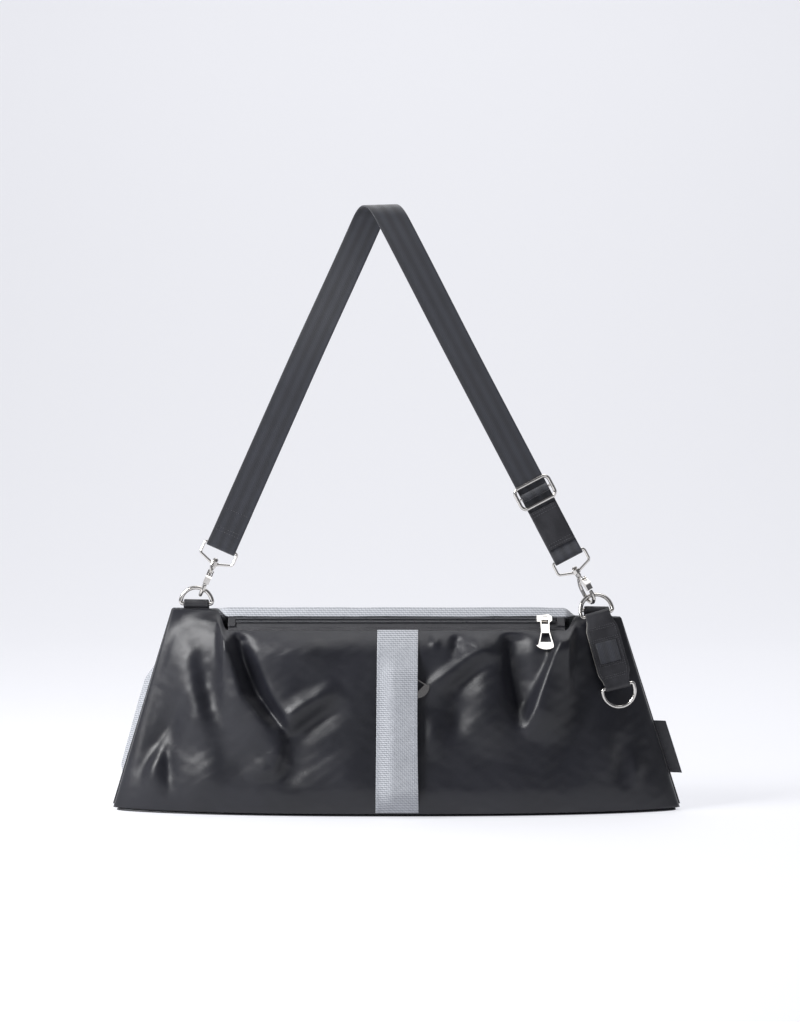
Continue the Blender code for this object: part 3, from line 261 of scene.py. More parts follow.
def threadBlack():
    # twisted sewing thread, a little lighter than the leather it holds
    look = Finish("threadBlack", (0.050, 0.050, 0.058), 0.55)
    place = look.place()
    twist = look.noise(place, 1500.0, 2.0)
    look.feed("Base Color", look.mix(twist, (0.035, 0.035, 0.042), (0.085, 0.085, 0.095)))
    look.bump(twist, 0.0001, 0.6)
    return look.made


def threadGrey():
    # the same thread in the band's grey
    look = Finish("threadGrey", (0.42, 0.44, 0.48), 0.6)
    twist = look.noise(look.place(), 1500.0, 2.0)
    look.feed("Base Color", look.mix(twist, (0.32, 0.34, 0.38), (0.58, 0.60, 0.65)))
    look.bump(twist, 0.0001, 0.6)
    return look.made


def liningCloth():
    # thin plain lining
    look = Finish("liningCloth", (0.20, 0.21, 0.23), 0.6)
    place = look.place()
    fine = look.noise(place, 500.0, 2.0)
    look.feed("Base Color", look.mix(fine, (0.16, 0.165, 0.18), (0.26, 0.27, 0.29)))
    look.bump(fine, 0.0001, 0.5)
    return look.made


finishes = {
    "nylon": blackNylon(),
    "grey": greyWeave("greyWeave", "XZ"),
    "band": greyWeave("greyBand", "UV"),
    "webbing": webbingBlack(),
    "leather": blackLeather(),
    "edge": paintedEdgeHighlight(),
    "nickel": polishedNickel(),
    "zip": zipNylon(),
    "tape": tapeCloth(),
    "thread": threadBlack(),
    "threadGrey": threadGrey(),
    "lining": liningCloth(),
}
print("finishes made:", len(finishes))


def smooth(value, start, end):
    # 0 before start, 1 after end, an even ease between
    share = np.clip((np.asarray(value, float) - start) / (end - start), 0, 1)
    return share * share * (3 - 2 * share)


def unit(vectors):
    return vectors / np.maximum(np.linalg.norm(vectors, axis=-1, keepdims=True), 1e-12)


def addMesh(name, points, faces, finish, uv=None, body="bag", swaps=(), slotName=None):
    # one finished piece: mesh, smooth shading, finish, the body it rides on and the nodes it stands for
    mesh = bpy.data.meshes.new(name)
    faces = np.asarray(faces, np.int32)
    sides = faces.shape[1]
    mesh.vertices.add(len(points))
    mesh.vertices.foreach_set("co", np.asarray(points, np.float32).ravel())
    mesh.loops.add(faces.size)
    mesh.loops.foreach_set("vertex_index", faces.ravel())
    mesh.polygons.add(len(faces))
    mesh.polygons.foreach_set("loop_start", np.arange(0, faces.size, sides, dtype=np.int32))
    mesh.polygons.foreach_set("use_smooth", np.ones(len(faces), bool))
    if uv is not None:
        layer = mesh.uv_layers.new(name="cloth")
        layer.data.foreach_set("uv", np.asarray(uv, np.float32)[faces.ravel()].ravel())
    mesh.update(calc_edges=True)
    mesh.validate()
    mesh.materials.append(finishes[finish])
    piece = bpy.data.objects.new(name, mesh)
    bpy.context.scene.collection.objects.link(piece)
    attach(piece, body)
    if swaps:
        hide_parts(*swaps)
    return piece


def gridFaces(rows, cols):
    # four corners for each cell of a grid of points
    index = np.arange(rows * cols).reshape(rows, cols)
    return np.stack([index[:-1, :-1], index[:-1, 1:], index[1:, 1:], index[1:, :-1]], -1).reshape(-1, 4)


def gridNormals(points):
    # across the columns first, then up the rows
    across = np.gradient(points, axis=1)
    along = np.gradient(points, axis=0)
    return unit(np.cross(across, along))


def crowded(start, end, count, edge):
    # even steps with four extra lines inside each rounded edge
    near = edge * (1 - np.cos(np.linspace(0, np.pi / 2, 5)))[:-1]
    middle = np.linspace(start + edge, end - edge, count)
    return np.concatenate([start + near, middle, (end - near)[::-1]])


def skin(name, across, along, place, thickness, finish, edge=None, **more):
    # closed sheet with rounded edges round a middle surface place(across, along)
    edge = thickness / 2 if edge is None else edge
    a, b = np.meshgrid(across, along)
    points = place(a, b)
    rows, cols = a.shape
    normals = gridNormals(points)
    inside = np.minimum(np.minimum(a - across[0], across[-1] - a), np.minimum(b - along[0], along[-1] - b))
    share = np.clip(inside / edge, 0, 1)
    half = (thickness / 2 * np.sqrt(1 - (1 - share) ** 2))[..., None]
    front = (points + normals * half).reshape(-1, 3)
    back = (points - normals * half).reshape(-1, 3)
    border = np.zeros((rows, cols), bool)
    border[[0, -1]] = True
    border[:, [0, -1]] = True
    other = np.arange(rows * cols).reshape(rows, cols)
    other[~border] = rows * cols + np.arange((~border).sum())
    faces = gridFaces(rows, cols)
    under = np.stack([other[:-1, :-1], other[1:, :-1], other[1:, 1:], other[:-1, 1:]], -1).reshape(-1, 4)
    keep = (~border).ravel()
    flat = np.stack([a, b], -1).reshape(-1, 2)
    return addMesh(name, np.concatenate([front, back[keep]]), np.concatenate([faces, under]), finish,
                   np.concatenate([flat, flat[keep]]), **more)


def tubeShape(path, radius, sides=16, closed=False):
    # round wire along a path: rings of points turned with the path as it bends
    path = np.asarray(path, float)
    count = len(path)
    ahead = unit(np.roll(path, -1, 0) - np.roll(path, 1, 0)) if closed else unit(np.gradient(path, axis=0))
    side = np.zeros_like(path)
    start = np.eye(3)[np.argmin(np.abs(ahead[0]))]
    side[0] = unit(start - ahead[0] * (start @ ahead[0]))
    for step in range(1, count):
        moved = side[step - 1] - ahead[step] * (side[step - 1] @ ahead[step])
        side[step] = unit(moved)
    if closed:
        # the leftover turn is spread along the loop so that its ends meet
        last = unit(side[-1] - ahead[0] * (side[-1] @ ahead[0]))
        turn = math.atan2(np.cross(last, side[0]) @ ahead[0], last @ side[0])
        angle = (np.arange(count) / count * turn)[:, None]
        side = side * np.cos(angle) + np.cross(ahead, side) * np.sin(angle)
    other = np.cross(ahead, side)
    around = np.linspace(0, 2 * np.pi, sides, endpoint=False)
    radii = np.broadcast_to(np.asarray(radius, float), (count,))[:, None, None]
    rings = path[:, None] + radii * (side[:, None] * np.cos(around)[None, :, None]
                                     + other[:, None] * np.sin(around)[None, :, None])
    ring = np.arange(count * sides).reshape(count, sides)
    after = np.roll(ring, -1, 0) if closed else ring[1:]
    ring = ring if closed else ring[:-1]
    faces = np.stack([ring, np.roll(ring, -1, 1), np.roll(after, -1, 1), after], -1).reshape(-1, 4)
    points = rings.reshape(-1, 3)
    if not closed:
        ends = np.arange(sides)
        for first, pole, turned in ((0, path[0], ends[::-1]), ((count - 1) * sides, path[-1], ends)):
            points = np.concatenate([points, pole[None]])
            pair = np.stack([turned + first, np.roll(turned, -1) + first], -1)
            tip = np.full((sides // 2, 1), len(points) - 1)
            quads = np.stack([pair[::2, 0], pair[::2, 1], pair[1::2, 1]], -1)
            faces = np.concatenate([faces, np.concatenate([quads, tip], -1)])
    return points, faces


def join(shapes):
    # several shapes as one, with each one's face numbers moved on
    points, faces, first = [], [], 0
    for shape, quads in shapes:
        points.append(shape)
        faces.append(quads + first)
        first += len(shape)
    return np.concatenate(points), np.concatenate(faces)


def tube(name, path, radius, finish="nickel", sides=16, closed=False, **more):
    points, faces = tubeShape(path, radius, sides, closed)
    return addMesh(name, points, faces, finish, **more)


def runAlong(path):
    # the length covered on reaching each point of a path
    return np.concatenate([[0], np.cumsum(np.linalg.norm(np.diff(path, axis=0), axis=1))])


def spaced(path, step):
    # points at even steps along a path, and the directions there
    path = np.asarray(path, float)
    run = runAlong(path)
    count = max(int(run[-1] / step), 1)
    at = (np.arange(count) + 0.5) * run[-1] / count
    points, more, less = (np.stack([np.interp(at + shift, run, path[:, axis]) for axis in range(3)], -1)
                          for shift in (0, step * 0.05, -step * 0.05))
    return points, unit(more - less)


thread = {"gap": 0.30, "lift": 0.0002, "sink": 0.00035, "sides": 6}


def stitches(name, paths, outward, pitch, radius, finish="thread", body="bag"):
    # rows of short sunk thread runs, each a small bowed capsule: height = lift - sink * bow^2
    shapes = []
    bow = np.linspace(-1, 1, 5)
    sides = thread["sides"]
    for path in paths:
        at, ahead = spaced(path, pitch)
        out = unit(np.broadcast_to(np.asarray(outward, float), at.shape))
        side = unit(np.cross(ahead, out))
        out = np.cross(side, ahead)
        run = pitch * (1 - thread["gap"]) / 2
        middle = at[:, None] + ahead[:, None] * (bow * run)[None, :, None] \
            + out[:, None] * (thread["lift"] - thread["sink"] * bow ** 2)[None, :, None]
        around = np.linspace(0, 2 * np.pi, sides, endpoint=False)
        width = radius * np.sqrt(np.clip(1 - bow ** 2 * 0.75, 0, 1))
        ring = side[:, None, None] * np.cos(around)[None, None, :, None] \
            + out[:, None, None] * np.sin(around)[None, None, :, None]
        points = middle[:, :, None] + ring * width[None, :, None, None]
        index = np.arange(len(bow) * sides).reshape(len(bow), sides)
        quads = np.stack([index[:-1], index[1:], np.roll(index[1:], -1, 1), np.roll(index[:-1], -1, 1)], -1)
        quads = quads.reshape(-1, 4)
        caps = np.array([[0, 1, 2, 3], [0, 3, 4, 5]])
        top = caps[:, ::-1] + (len(bow) - 1) * sides
        quads = np.concatenate([quads, caps, top])
        each = len(bow) * sides
        faces = (quads[None] + (np.arange(len(at)) * each)[:, None, None]).reshape(-1, 4)
        shapes.append((points.reshape(-1, 3), faces))
    points, faces = join(shapes)
    return addMesh(name, points, faces, finish, body=body)


print("builders ready")


bag = {
    "bottomHalfWidth": 0.283, "topHalfWidth": 0.224, "seamHeight": 0.0026, "gap": 0.0025,
    "frontEdge": 0.1805, "edgeDepth": 0.0215, "crest": 0.2012, "crestDepth": 0.001,
    "fullDepth": 0.060, "fullHeight": 0.030, "lean": 0.16, "lowDepth": 0.050, "shoulder": 0.155,
    "cornerStart": 0.167, "cornerEnd": 0.180, "sideBulge": 0.056, "cloth": 0.0011, "rim": 0.004,
    "seamMiddle": 0.1965, "seamFall": 0.020, "lipDepth": 0.0145, "lipHeight": 0.1930,
}


band = {"middle": 0.001, "width": 0.041, "standOff": 0.0066, "low": 0.0045, "thickness": 0.0012, "seam": 0.004,
        "gap": 0.0009}


def halfWidth(v):
    # straight sides, v from the bottom (0) to the top (1)
    return bag["bottomHalfWidth"] + (bag["topHalfWidth"] - bag["bottomHalfWidth"]) * v


def wallDepth(z):
    # a leaning line, with a squared loss above the shoulder and below the fullest height
    depth = bag["fullDepth"] - bag["lean"] * (z - bag["fullHeight"])
    top = bag["fullDepth"] - bag["lean"] * (bag["frontEdge"] - bag["fullHeight"]) - bag["edgeDepth"]
    depth = depth - top * np.clip((z - bag["shoulder"]) / (bag["frontEdge"] - bag["shoulder"]), 0, None) ** 2
    fall = bag["fullHeight"] - bag["seamHeight"]
    low = bag["fullDepth"] + bag["lean"] * fall - bag["lowDepth"]
    return depth - low * np.clip((bag["fullHeight"] - z) / fall, 0, None) ** 2


def seamTop(x):
    return bag["seamMiddle"] - bag["seamFall"] * x


def wall(u, v, edgeHeight, follow):
    # x, depth and height of a wall: the side share (1 - |u|^2.4)^0.7 thins it towards the side seams
    x = u * halfWidth(v)
    corner = smooth(np.abs(x), bag["cornerStart"], bag["cornerEnd"])
    top = edgeHeight + (seamTop(x) - edgeHeight) * corner
    level = bag["seamHeight"] + (bag["frontEdge"] - bag["seamHeight"]) * v
    share = np.clip(1 - np.abs(u) ** 2.4, 0, None) ** 0.7
    share = share + (1 - share) * follow * (1 - corner)
    depth = wallDepth(level) * share * (1 - corner * v ** 4) + bag["gap"]
    return x, depth, bag["seamHeight"] + (top - bag["seamHeight"]) * v


def frontWall(u, v):
    # the front turns parallel to the zip near its top edge
    return wall(u, v, bag["frontEdge"], smooth(v, 0.72, 1))


def frontDepth(x, z):
    # the share of the height is found by repeated correction, then gives the depth there
    v = np.full(np.broadcast(x, z).shape, 0.5)
    for _ in range(30):
        v = np.clip(v + (z - frontWall(x / halfWidth(v), v)[2]) / bag["frontEdge"], 0, 1)
    return frontWall(x / halfWidth(v), v)[1]


# folds of the front, in millimetres: points (x, z), height, and width on the left and the right of the line
folds = [
    ([(-176, 203), (-166, 155), (-153, 115), (-132, 91), (-112, 77)], 13, 30, 7, 0.2),
    ([(-161, 190), (-150, 152), (-137, 119), (-118, 92), (-106, 80)], -11, 7, 9, 0.25),
    ([(-137, 164), (-132, 150), (-116, 112), (-98, 84)], 6, 9, 40, 0.3),
    ([(-141, 121), (-113, 80)], 3, 4, 4, 0.4),
    ([(-114, 76), (-115, 60), (-120, 46), (-144, 41)], 7, 16, 6, 0.35),
    ([(-102, 76), (-100, 50), (-112, 30)], -4, 8, 22, 0.4),
    ([(-114, 86), (-89, 106), (-60, 126)], 6, 9, 12, 0.3),
    ([(-106, 72), (-84, 92), (-55, 110)], -6, 8, 14, 0.35),
    ([(-88, 178), (-66, 125)], 3, 24, 16, 0.4),
    ([(-214, 176), (-203, 128), (-186, 62)], 8, 20, 14, 0.3),
    ([(-240, 120), (-252, 60)], -3, 14, 12, 0.4),
    ([(-194, 150), (-178, 90)], -5, 11, 14, 0.4),
    ([(-216, 110), (-234, 74), (-254, 38)], -6, 10, 7, 0.35),
    ([(-211, 108), (-226, 62), (-222, 18)], -5, 7, 10, 0.35),
    ([(-240, 64), (-240, 20)], 4, 9, 9, 0.45),
    ([(-196, 60), (-172, 20)], 5, 22, 20, 0.45),
    ([(-66, 60), (-46, 20)], 3, 26, 20, 0.45),
    ([(39, 180), (37, 162)], 2.5, 5, 5, 0.4),
    ([(78, 180), (82, 161), (57, 142), (27, 120)], 5, 8, 11, 0.3),
    ([(59, 178), (58, 156)], -5, 6, 6, 0.4),
    ([(88, 150), (62, 128), (46, 118)], -4, 8, 9, 0.4),
    ([(95, 138), (92, 100), (90, 64)], 7, 20, 18, 0.4),
    ([(60, 120), (58, 76)], -4.5, 10, 12, 0.45),
    ([(36, 98), (35, 60)], 3, 9, 9, 0.4),
    ([(112, 182), (115, 140), (123, 92)], -13, 9, 15, 0.25),
    ([(170, 194), (154, 146), (140, 112), (129, 84)], 14, 7, 28, 0.2),
    ([(186, 150), (170, 90), (162, 50)], -4, 14, 18, 0.4),
    ([(200, 120), (206, 60), (198, 20)], 6, 24, 22, 0.45),
    ([(236, 60), (236, 26)], 4, 6, 8, 0.45),
    ([(220, 74), (219, 28)], -3.5, 7, 7, 0.5),
]


def foldHeight(x, z):
    # each fold: a bell across its line, eased off at both ends of the line
    total = np.zeros_like(x)
    for line, height, left, right, ease in folds:
        line = np.array(line, float) / 1000
        step = np.diff(line, axis=0)
        lengths = np.linalg.norm(step, axis=1)
        run = runAlong(line)
        best = np.full(x.shape, 1e9)
        sideways = np.zeros_like(x)
        share = np.zeros_like(x)
        for k in range(len(step)):
            t = ((x - line[k, 0]) * step[k, 0] + (z - line[k, 1]) * step[k, 1]) / lengths[k] ** 2
            t = np.clip(t, -9 if k == 0 else 0, 9 if k == len(step) - 1 else 1)
            held = np.clip(t, 0, 1)
            dx = x - line[k, 0] - held * step[k, 0]
            dz = z - line[k, 1] - held * step[k, 1]
            near = np.hypot(dx, dz)
            closer = near < best
            best = np.where(closer, near, best)
            turn = step[k, 1] * dx - step[k, 0] * dz
            sideways = np.where(closer, np.where(turn * np.sign(-step[k, 1]) > 0, -near, near), sideways)
            share = np.where(closer, (run[k] + t * lengths[k]) / run[-1], share)
        width = np.where(sideways < 0, left, right) / 1000
        along = smooth(share, -ease * 0.5, ease) * (1 - smooth(share, 1 - ease, 1 + ease * 0.5))
        total += height / 1000 * along * np.exp(-(best / width) ** 2)
    return total


def softNoise(x, z, size, seed):
    # smooth random bumps: sine waves of mixed direction, each about the given length
    rng = np.random.default_rng(seed)
    total = np.zeros_like(x)
    waves = 24
    for _ in range(waves):
        angle = rng.uniform(0, np.pi)
        length = size * rng.uniform(0.6, 1.8)
        total += np.sin((x * np.cos(angle) + z * np.sin(angle)) * 2 * np.pi / length + rng.uniform(0, 7))
    return total / waves ** 0.5


def frontPlace(u, v):
    # the wall plus its folds and creases, calmed at the seams and behind the band
    x, depth, z = frontWall(u, v)
    calm = (1 - smooth(np.abs(u), 0.94, 1.0)) * (1 - smooth(v, 0.94, 1.0)) * smooth(v, 0, 0.05)
    calm = calm * (1 - 0.85 * (1 - smooth(np.abs(x - band["middle"]), 0.018, 0.034)))
    crease = softNoise(x, z * 0.6, 0.055, 3) * 0.0006 + softNoise(x, z, 0.016, 5) * 0.00016
    out = (foldHeight(x, z) + crease) * calm
    # a hollow fades where the bag is thin
    out = np.where(out < 0, out * smooth(depth, 0.003, 0.022), out)
    # the wall leans, so part of each fold goes up its own slope
    return np.stack([x, -depth - out, z + 0.25 * out * (1 - smooth(v, 0.8, 1))], -1)


def liningFront(a, b):
    # the pleated front again, set back inside the bag
    return frontPlace(a, b) + np.array([0, 0.0065, 0])


def backPlace(u, v):
    # up to the crest, then over it and down to the lip above the zip
    crestShare = 0.86
    rise = np.clip(v / crestShare, 0, 1)
    x, depth, z = wall(-u, rise, bag["crest"], 0)
    corner = smooth(np.abs(x), bag["cornerStart"], bag["cornerEnd"])
    crestDepth = bag["crestDepth"] + (bag["gap"] + 0.0022 - bag["crestDepth"]) * corner
    y = depth + (crestDepth - depth) * rise ** 6
    over = np.clip((v - crestShare) / (1 - crestShare), 0, 1)
    y = y + (-bag["lipDepth"] + (bag["gap"] + bag["lipDepth"]) * corner - y) * over
    z = z + (bag["lipHeight"] + (seamTop(x) - bag["lipHeight"]) * corner - z) * over ** 1.6
    # the sides swell past the seams: a quadratic curve from 0.78 of the width out and back to the seam
    side = np.clip((np.abs(u) - 0.78) / 0.22, 0, 1)
    swell = bag["sideBulge"] * smooth(rise, 0.04, 0.22) * (1 - smooth(rise, 0.62, 0.84))
    out = 2 * side * (1 - side) * swell * np.where(x < 0, 1.0, 0.3)
    x = x + np.sign(x) * out
    wrinkle = softNoise(x, z, 0.06, 11) * 0.0009 + softNoise(x, z, 0.022, 12) * 0.0003
    nearCrest = smooth(rise, 0.8, 1)
    wrinkle = wrinkle * smooth(rise, 0.02, 0.1) * (1 - smooth(np.abs(u), 0.93, 1)) * (1 - 0.6 * nearCrest)
    return np.stack([x, y + wrinkle * (1 - over), z + wrinkle * 0.8 * nearCrest], -1)


def sideLines(count):
    # lines from -1 to 1, closer together towards both ends
    return np.sin(np.linspace(-np.pi / 2, np.pi / 2, count))


skin("shell_front", np.linspace(-1, 1, 300), np.linspace(0, 1, 150), frontPlace, bag["cloth"], "nylon",
     edge=bag["rim"], swaps=("front_panel",), slotName="black_nylon")
skin("shell_back", sideLines(240), np.linspace(0, 1, 120), backPlace, bag["cloth"], "grey",
     edge=bag["rim"], swaps=("back_panel",), slotName="grey_weave")
skin("inner_front", np.linspace(-0.9, 0.9, 60), np.linspace(0.06, 0.84, 30), liningFront, 0.0005, "lining",
     edge=bag["rim"], swaps=("lining_front",), slotName="lining_fabric")
print("bag walls made")


def bandPlace(a, b):
    # lies on the front at its left edge and stands off towards its free right edge
    u = a / band["width"]
    z = band["low"] + b
    x = band["middle"] - band["width"] / 2 + a
    share = b / (bag["frontEdge"] - band["low"])
    lift = smooth(share, 0, 0.12) * smooth(1 - share, 0.10, 0.25)
    stand = band["gap"] + band["standOff"] * smooth(u, 0, 0.45) * lift
    wavy = 0.0005 * np.sin(b * 95 + 1.0) * u * lift + 0.0003 * np.sin(b * 230) * u * lift
    edge = -0.0010 * np.sin(np.pi * share) * u + 0.0014 * (share - 0.5) * (1 - u)
    return np.stack([x + edge, -frontDepth(x, z) - stand - wavy - band["thickness"] / 2, z], -1)


bandLength = bag["frontEdge"] - band["low"]
skin("band_cloth", crowded(0, band["width"], 26, 0.0006), crowded(0, bandLength, 110, 0.0006), bandPlace,
     band["thickness"], "band", swaps=("front_band",), slotName="grey_weave")
seamRun = np.linspace(0.002, bandLength - 0.002, 120)
seamPaths = []
for inset in (0.0016, band["width"] - band["seam"]):
    line = bandPlace(np.full(120, inset), seamRun)
    line[:, 1] -= band["thickness"] / 2
    seamPaths.append(line)
stitches("band_stitches", seamPaths, (0, -1, 0), 0.0030, 0.00026, "threadGrey")

topZip = {"halfLength": 0.159, "slope": math.radians(52.8), "span": 0.0157, "chain": 0.0038, "coil": 0.0027,
          "high": 0.0019, "gap": 0.0010, "pitch": 0.00115, "wire": 0.00042, "tape": 0.0006, "stop": 0.0075,
          "patch": 0.0012}
rightward = np.array([1.0, 0, 0])
backward = np.array([0, 1.0, 0])
down = np.array([0, -math.cos(topZip["slope"]), -math.sin(topZip["slope"])])
outOfZip = np.array([0, -math.sin(topZip["slope"]), math.cos(topZip["slope"])])
frontEdge = np.array([0, -bag["edgeDepth"] - bag["gap"], bag["frontEdge"]])
chain = frontEdge - down * (topZip["span"] - topZip["chain"])


def coil(node, start, ahead, side, out, length):
    # a flattened spiral: the wire goes round an oval as it runs along the row
    wire = topZip["wire"]
    turns = int(length / topZip["pitch"])
    angle = np.linspace(0, turns * 2 * np.pi, turns * 12 + 1)
    across = np.sign(np.cos(angle)) * np.abs(np.cos(angle)) ** 0.7 * (topZip["coil"] / 2 - wire)
    above = np.sin(angle) * (topZip["high"] / 2 - wire)
    path = start + np.outer(angle / (2 * np.pi) * topZip["pitch"], ahead) + np.outer(across, side) \
        + np.outer(above, out)
    return tube(node + "_teeth", path, wire, "zip", 6, swaps=(node,), slotName="zip_black")


for name, side in (("zip_coil_back", -1), ("zip_coil_front", 1)):
    middle = chain + down * side * (topZip["gap"] / 2 + topZip["coil"] / 2)
    shift = 0.0 if side < 0 else topZip["pitch"] / 2
    coil(name, middle - rightward * (topZip["halfLength"] - shift), rightward, down, outOfZip,
         2 * topZip["halfLength"] - topZip["pitch"])

tapeEnd = topZip["halfLength"] + topZip["stop"]
under = -topZip["high"] / 2 - 0.0003 - topZip["tape"] / 2
for name, near, far, ripple in (("zip_tape_front", 0.0005, topZip["span"] - topZip["chain"] - 0.0002, 0.0003),
                                ("zip_tape_back", -topZip["chain"] + 0.0003, -0.0005, 0.0)):
    def tapePlace(a, b, ripple=ripple):
        point = chain + outOfZip * under + b[..., None] * down + a[..., None] * rightward
        return point + ripple * (np.sin(a * 120) * smooth(b, 0.002, 0.010))[..., None] * outOfZip

    skin(name + "_cloth", crowded(-tapeEnd, tapeEnd, 120, 0.0003), crowded(near, far, 8, 0.0003), tapePlace,
         topZip["tape"], "tape", swaps=(name,), slotName="zip_tape")

# a row of stitches on the front tape, beside the edge of the nylon
sewnTape = chain + np.outer(np.linspace(-tapeEnd, tapeEnd, 160), rightward) \
    + down * (topZip["span"] - topZip["chain"] - 0.0036) + outOfZip * (under + topZip["tape"] / 2 + 0.00005)
stitches("zip_stitches", [sewnTape], outOfZip, 0.0029, 0.00022)

# an end tab lies over both tapes, sewn round with a frame of stitches
tabBase = chain + outOfZip * (under + topZip["tape"] / 2 + 0.0009)
for name, side in (("zip_end_left", -1), ("zip_end_right", 1)):
    low, high = sorted((side * (topZip["halfLength"] + 0.0003), side * (tapeEnd + 0.0004)))
    skin(name + "_patch", crowded(low, high, 6, 0.0005), crowded(-0.0034, 0.0078, 8, 0.0005),
         lambda a, b: tabBase + a[..., None] * rightward + b[..., None] * down,
         topZip["patch"], "leather", swaps=(name,), slotName="black_leather")
    corner = np.array([(0, 0), (1, 0), (1, 1), (0, 1), (0, 0)])
    turn = np.array([low + 0.001, -0.0025]) + corner * np.array([high - low - 0.002, 0.0093])
    path = tabBase + turn[:, :1] * rightward + turn[:, 1:] * down + outOfZip * 0.00065
    stitches(name + "_stitches", [path], outOfZip, 0.0022, 0.0002)
print("band and top zip made")

# pocket zip: a straight line down the wall between two heights, sunk behind the front
pocketZip = {"x": 0.006, "top": 0.153, "length": 0.121, "high": 0.155, "low": 0.035, "sunk": 0.0023,
             "margin": 0.004, "tape": 0.011}
high, low = (np.array([pocketZip["x"], -float(frontDepth(np.array(pocketZip["x"]), np.array(z))), z])
             for z in (pocketZip["high"], pocketZip["low"]))
pocketUp = unit(high - low)
pocketOut = unit(np.cross(rightward, pocketUp))
pocketTop = high + pocketUp * (pocketZip["top"] - pocketZip["high"]) - pocketOut * pocketZip["sunk"]
for side, place in ((-1, "left"), (1, "right")):
    start = pocketTop - pocketUp * (pocketZip["length"] - 0.0026) + pocketOut * (topZip["high"] / 2 + 0.0003) \
        + rightward * (side * (topZip["gap"] + topZip["coil"]) / 2)
    coil("pocket_coil_" + place, start, pocketUp, rightward, pocketOut, pocketZip["length"] - 0.0056)
for side, place in ((-1, "left"), (1, "right")):
    def pocketTape(a, b, side=side):
        return pocketTop - pocketOut * 0.0003 - pocketUp * b[..., None] + (side * a)[..., None] * rightward

    skin("pocket_tape_" + place + "_cloth", crowded(0.0005, pocketZip["tape"], 6, 0.0003),
         crowded(-pocketZip["margin"], pocketZip["length"] + pocketZip["margin"], 40, 0.0003),
         pocketTape, topZip["tape"], "tape", swaps=("pocket_tape_" + place,), slotName="zip_tape")
print("pocket zip made")

# strap: the frames of its legs and the fold over its crest
strap = {
    "width": 0.030, "thickness": 0.0014, "halfAngle": math.radians(25.8), "lean": math.radians(1.9),
    "crestRadius": 0.020, "crestEase": 0.150, "barHeight": 0.0455, "returnLength": 0.042, "wire": 0.0015,
}
anchorLine = unit(np.array([1.0, 0, -0.0175]))
ring = {"radius": 0.0159, "wire": 0.0021, "corner": 0.0023, "x": 0.200, "height": 0.202}
tilts = {"left": strap["halfAngle"] - strap["lean"], "right": -strap["halfAngle"] - strap["lean"]}
legUp = {place: np.array([math.sin(tilt), 0, math.cos(tilt)]) for place, tilt in tilts.items()}
legAcross = {place: unit(np.cross(backward, up)) for place, up in legUp.items()}
anchors = {place: np.array([side * ring["x"], 0, ring["height"] - 0.0175 * side * ring["x"]])
           for place, side in (("left", -1), ("right", 1))}
seats = {place: anchors[place] + legUp[place] * ring["radius"] for place in anchors}
hookLines = {"left": seats["left"], "right": seats["right"] - np.array([0, 0.00225, 0])}
bars = {place: hookLines[place] + legUp[place] * strap["barHeight"] for place in anchors}
crestLine = np.array([math.cos(strap["lean"]), 0, math.sin(strap["lean"])])
rise = np.array([-math.sin(strap["lean"]), 0, math.cos(strap["lean"])])
between = bars["right"] - bars["left"]
legSum = between @ crestLine / math.sin(strap["halfAngle"])
legDifference = -between @ rise / math.cos(strap["halfAngle"])
legs = {"right": (legSum + legDifference) / 2, "left": (legSum - legDifference) / 2}
quarter = math.pi * strap["crestRadius"] / 2
crestAxis = bars["left"] + crestLine * (legs["left"] * math.sin(strap["halfAngle"])) \
    + rise * (legs["left"] * math.cos(strap["halfAngle"]) - quarter)


def strapPlace(across, along):
    # a flat strip laid over a cylinder: along runs from the crest down the right leg
    sideways = along * math.sin(strap["halfAngle"]) + across * math.cos(strap["halfAngle"])
    around = along * math.cos(strap["halfAngle"]) - across * math.sin(strap["halfAngle"])
    onCrest = np.abs(around) <= quarter
    angle = np.clip(around, -quarter, quarter) / strap["crestRadius"]
    fall = -(np.abs(around) - quarter)
    ease = 0.5 + 0.5 * np.cos(np.pi * np.clip(-fall / strap["crestEase"], 0, 1))
    sign = np.sign(around)
    end = np.where(sign > 0, bars["right"][1], bars["left"][1])
    radius = strap["crestRadius"]
    height = np.where(onCrest, radius * np.cos(angle), fall)
    point = crestAxis + crestLine * sideways[..., None] + rise * height[..., None]
    point[..., 1] = np.where(onCrest, -radius * np.sin(angle), end + (-sign * radius - end) * ease)
    return point


def legPlace(place, across, depth, height):
    # a point beside one leg: across the strap, behind its middle, and up the leg from the bail's bar
    return bars[place] + np.multiply.outer(across, legAcross[place]) + np.multiply.outer(depth, backward) \
        + np.multiply.outer(height, legUp[place])


clear = 0.0003
foldRadius = strap["wire"] + clear + strap["thickness"] / 2
layerStep = strap["thickness"] + clear
foldStart = 0.012


def foldLine():
    # depth and height: down the front, round the bail's bar and up the back to the cut end
    down = np.linspace(foldStart, 0, 9)[:-1]
    angle = np.linspace(np.pi, 2 * np.pi, 17)
    up = np.linspace(0, foldStart, 9)[1:]
    back = np.linspace(foldStart, strap["returnLength"], 14)[1:]
    depth = np.concatenate([-foldRadius * (1 - smooth(down, 0, foldStart)), foldRadius * np.cos(angle),
                            foldRadius + (layerStep - foldRadius) * smooth(up, 0, foldStart),
                            np.full(len(back), layerStep)])
    height = np.concatenate([down, foldRadius * np.sin(angle), up, back])
    return depth, height


foldDepth, foldHeights = foldLine()
leftEnd = legs["left"] - foldStart
rightEnd = legs["right"] - foldStart
main = np.linspace(-leftEnd, rightEnd, 420)[1:-1]
foldRows = len(foldDepth)
rowCount = len(main) + 2 * foldRows


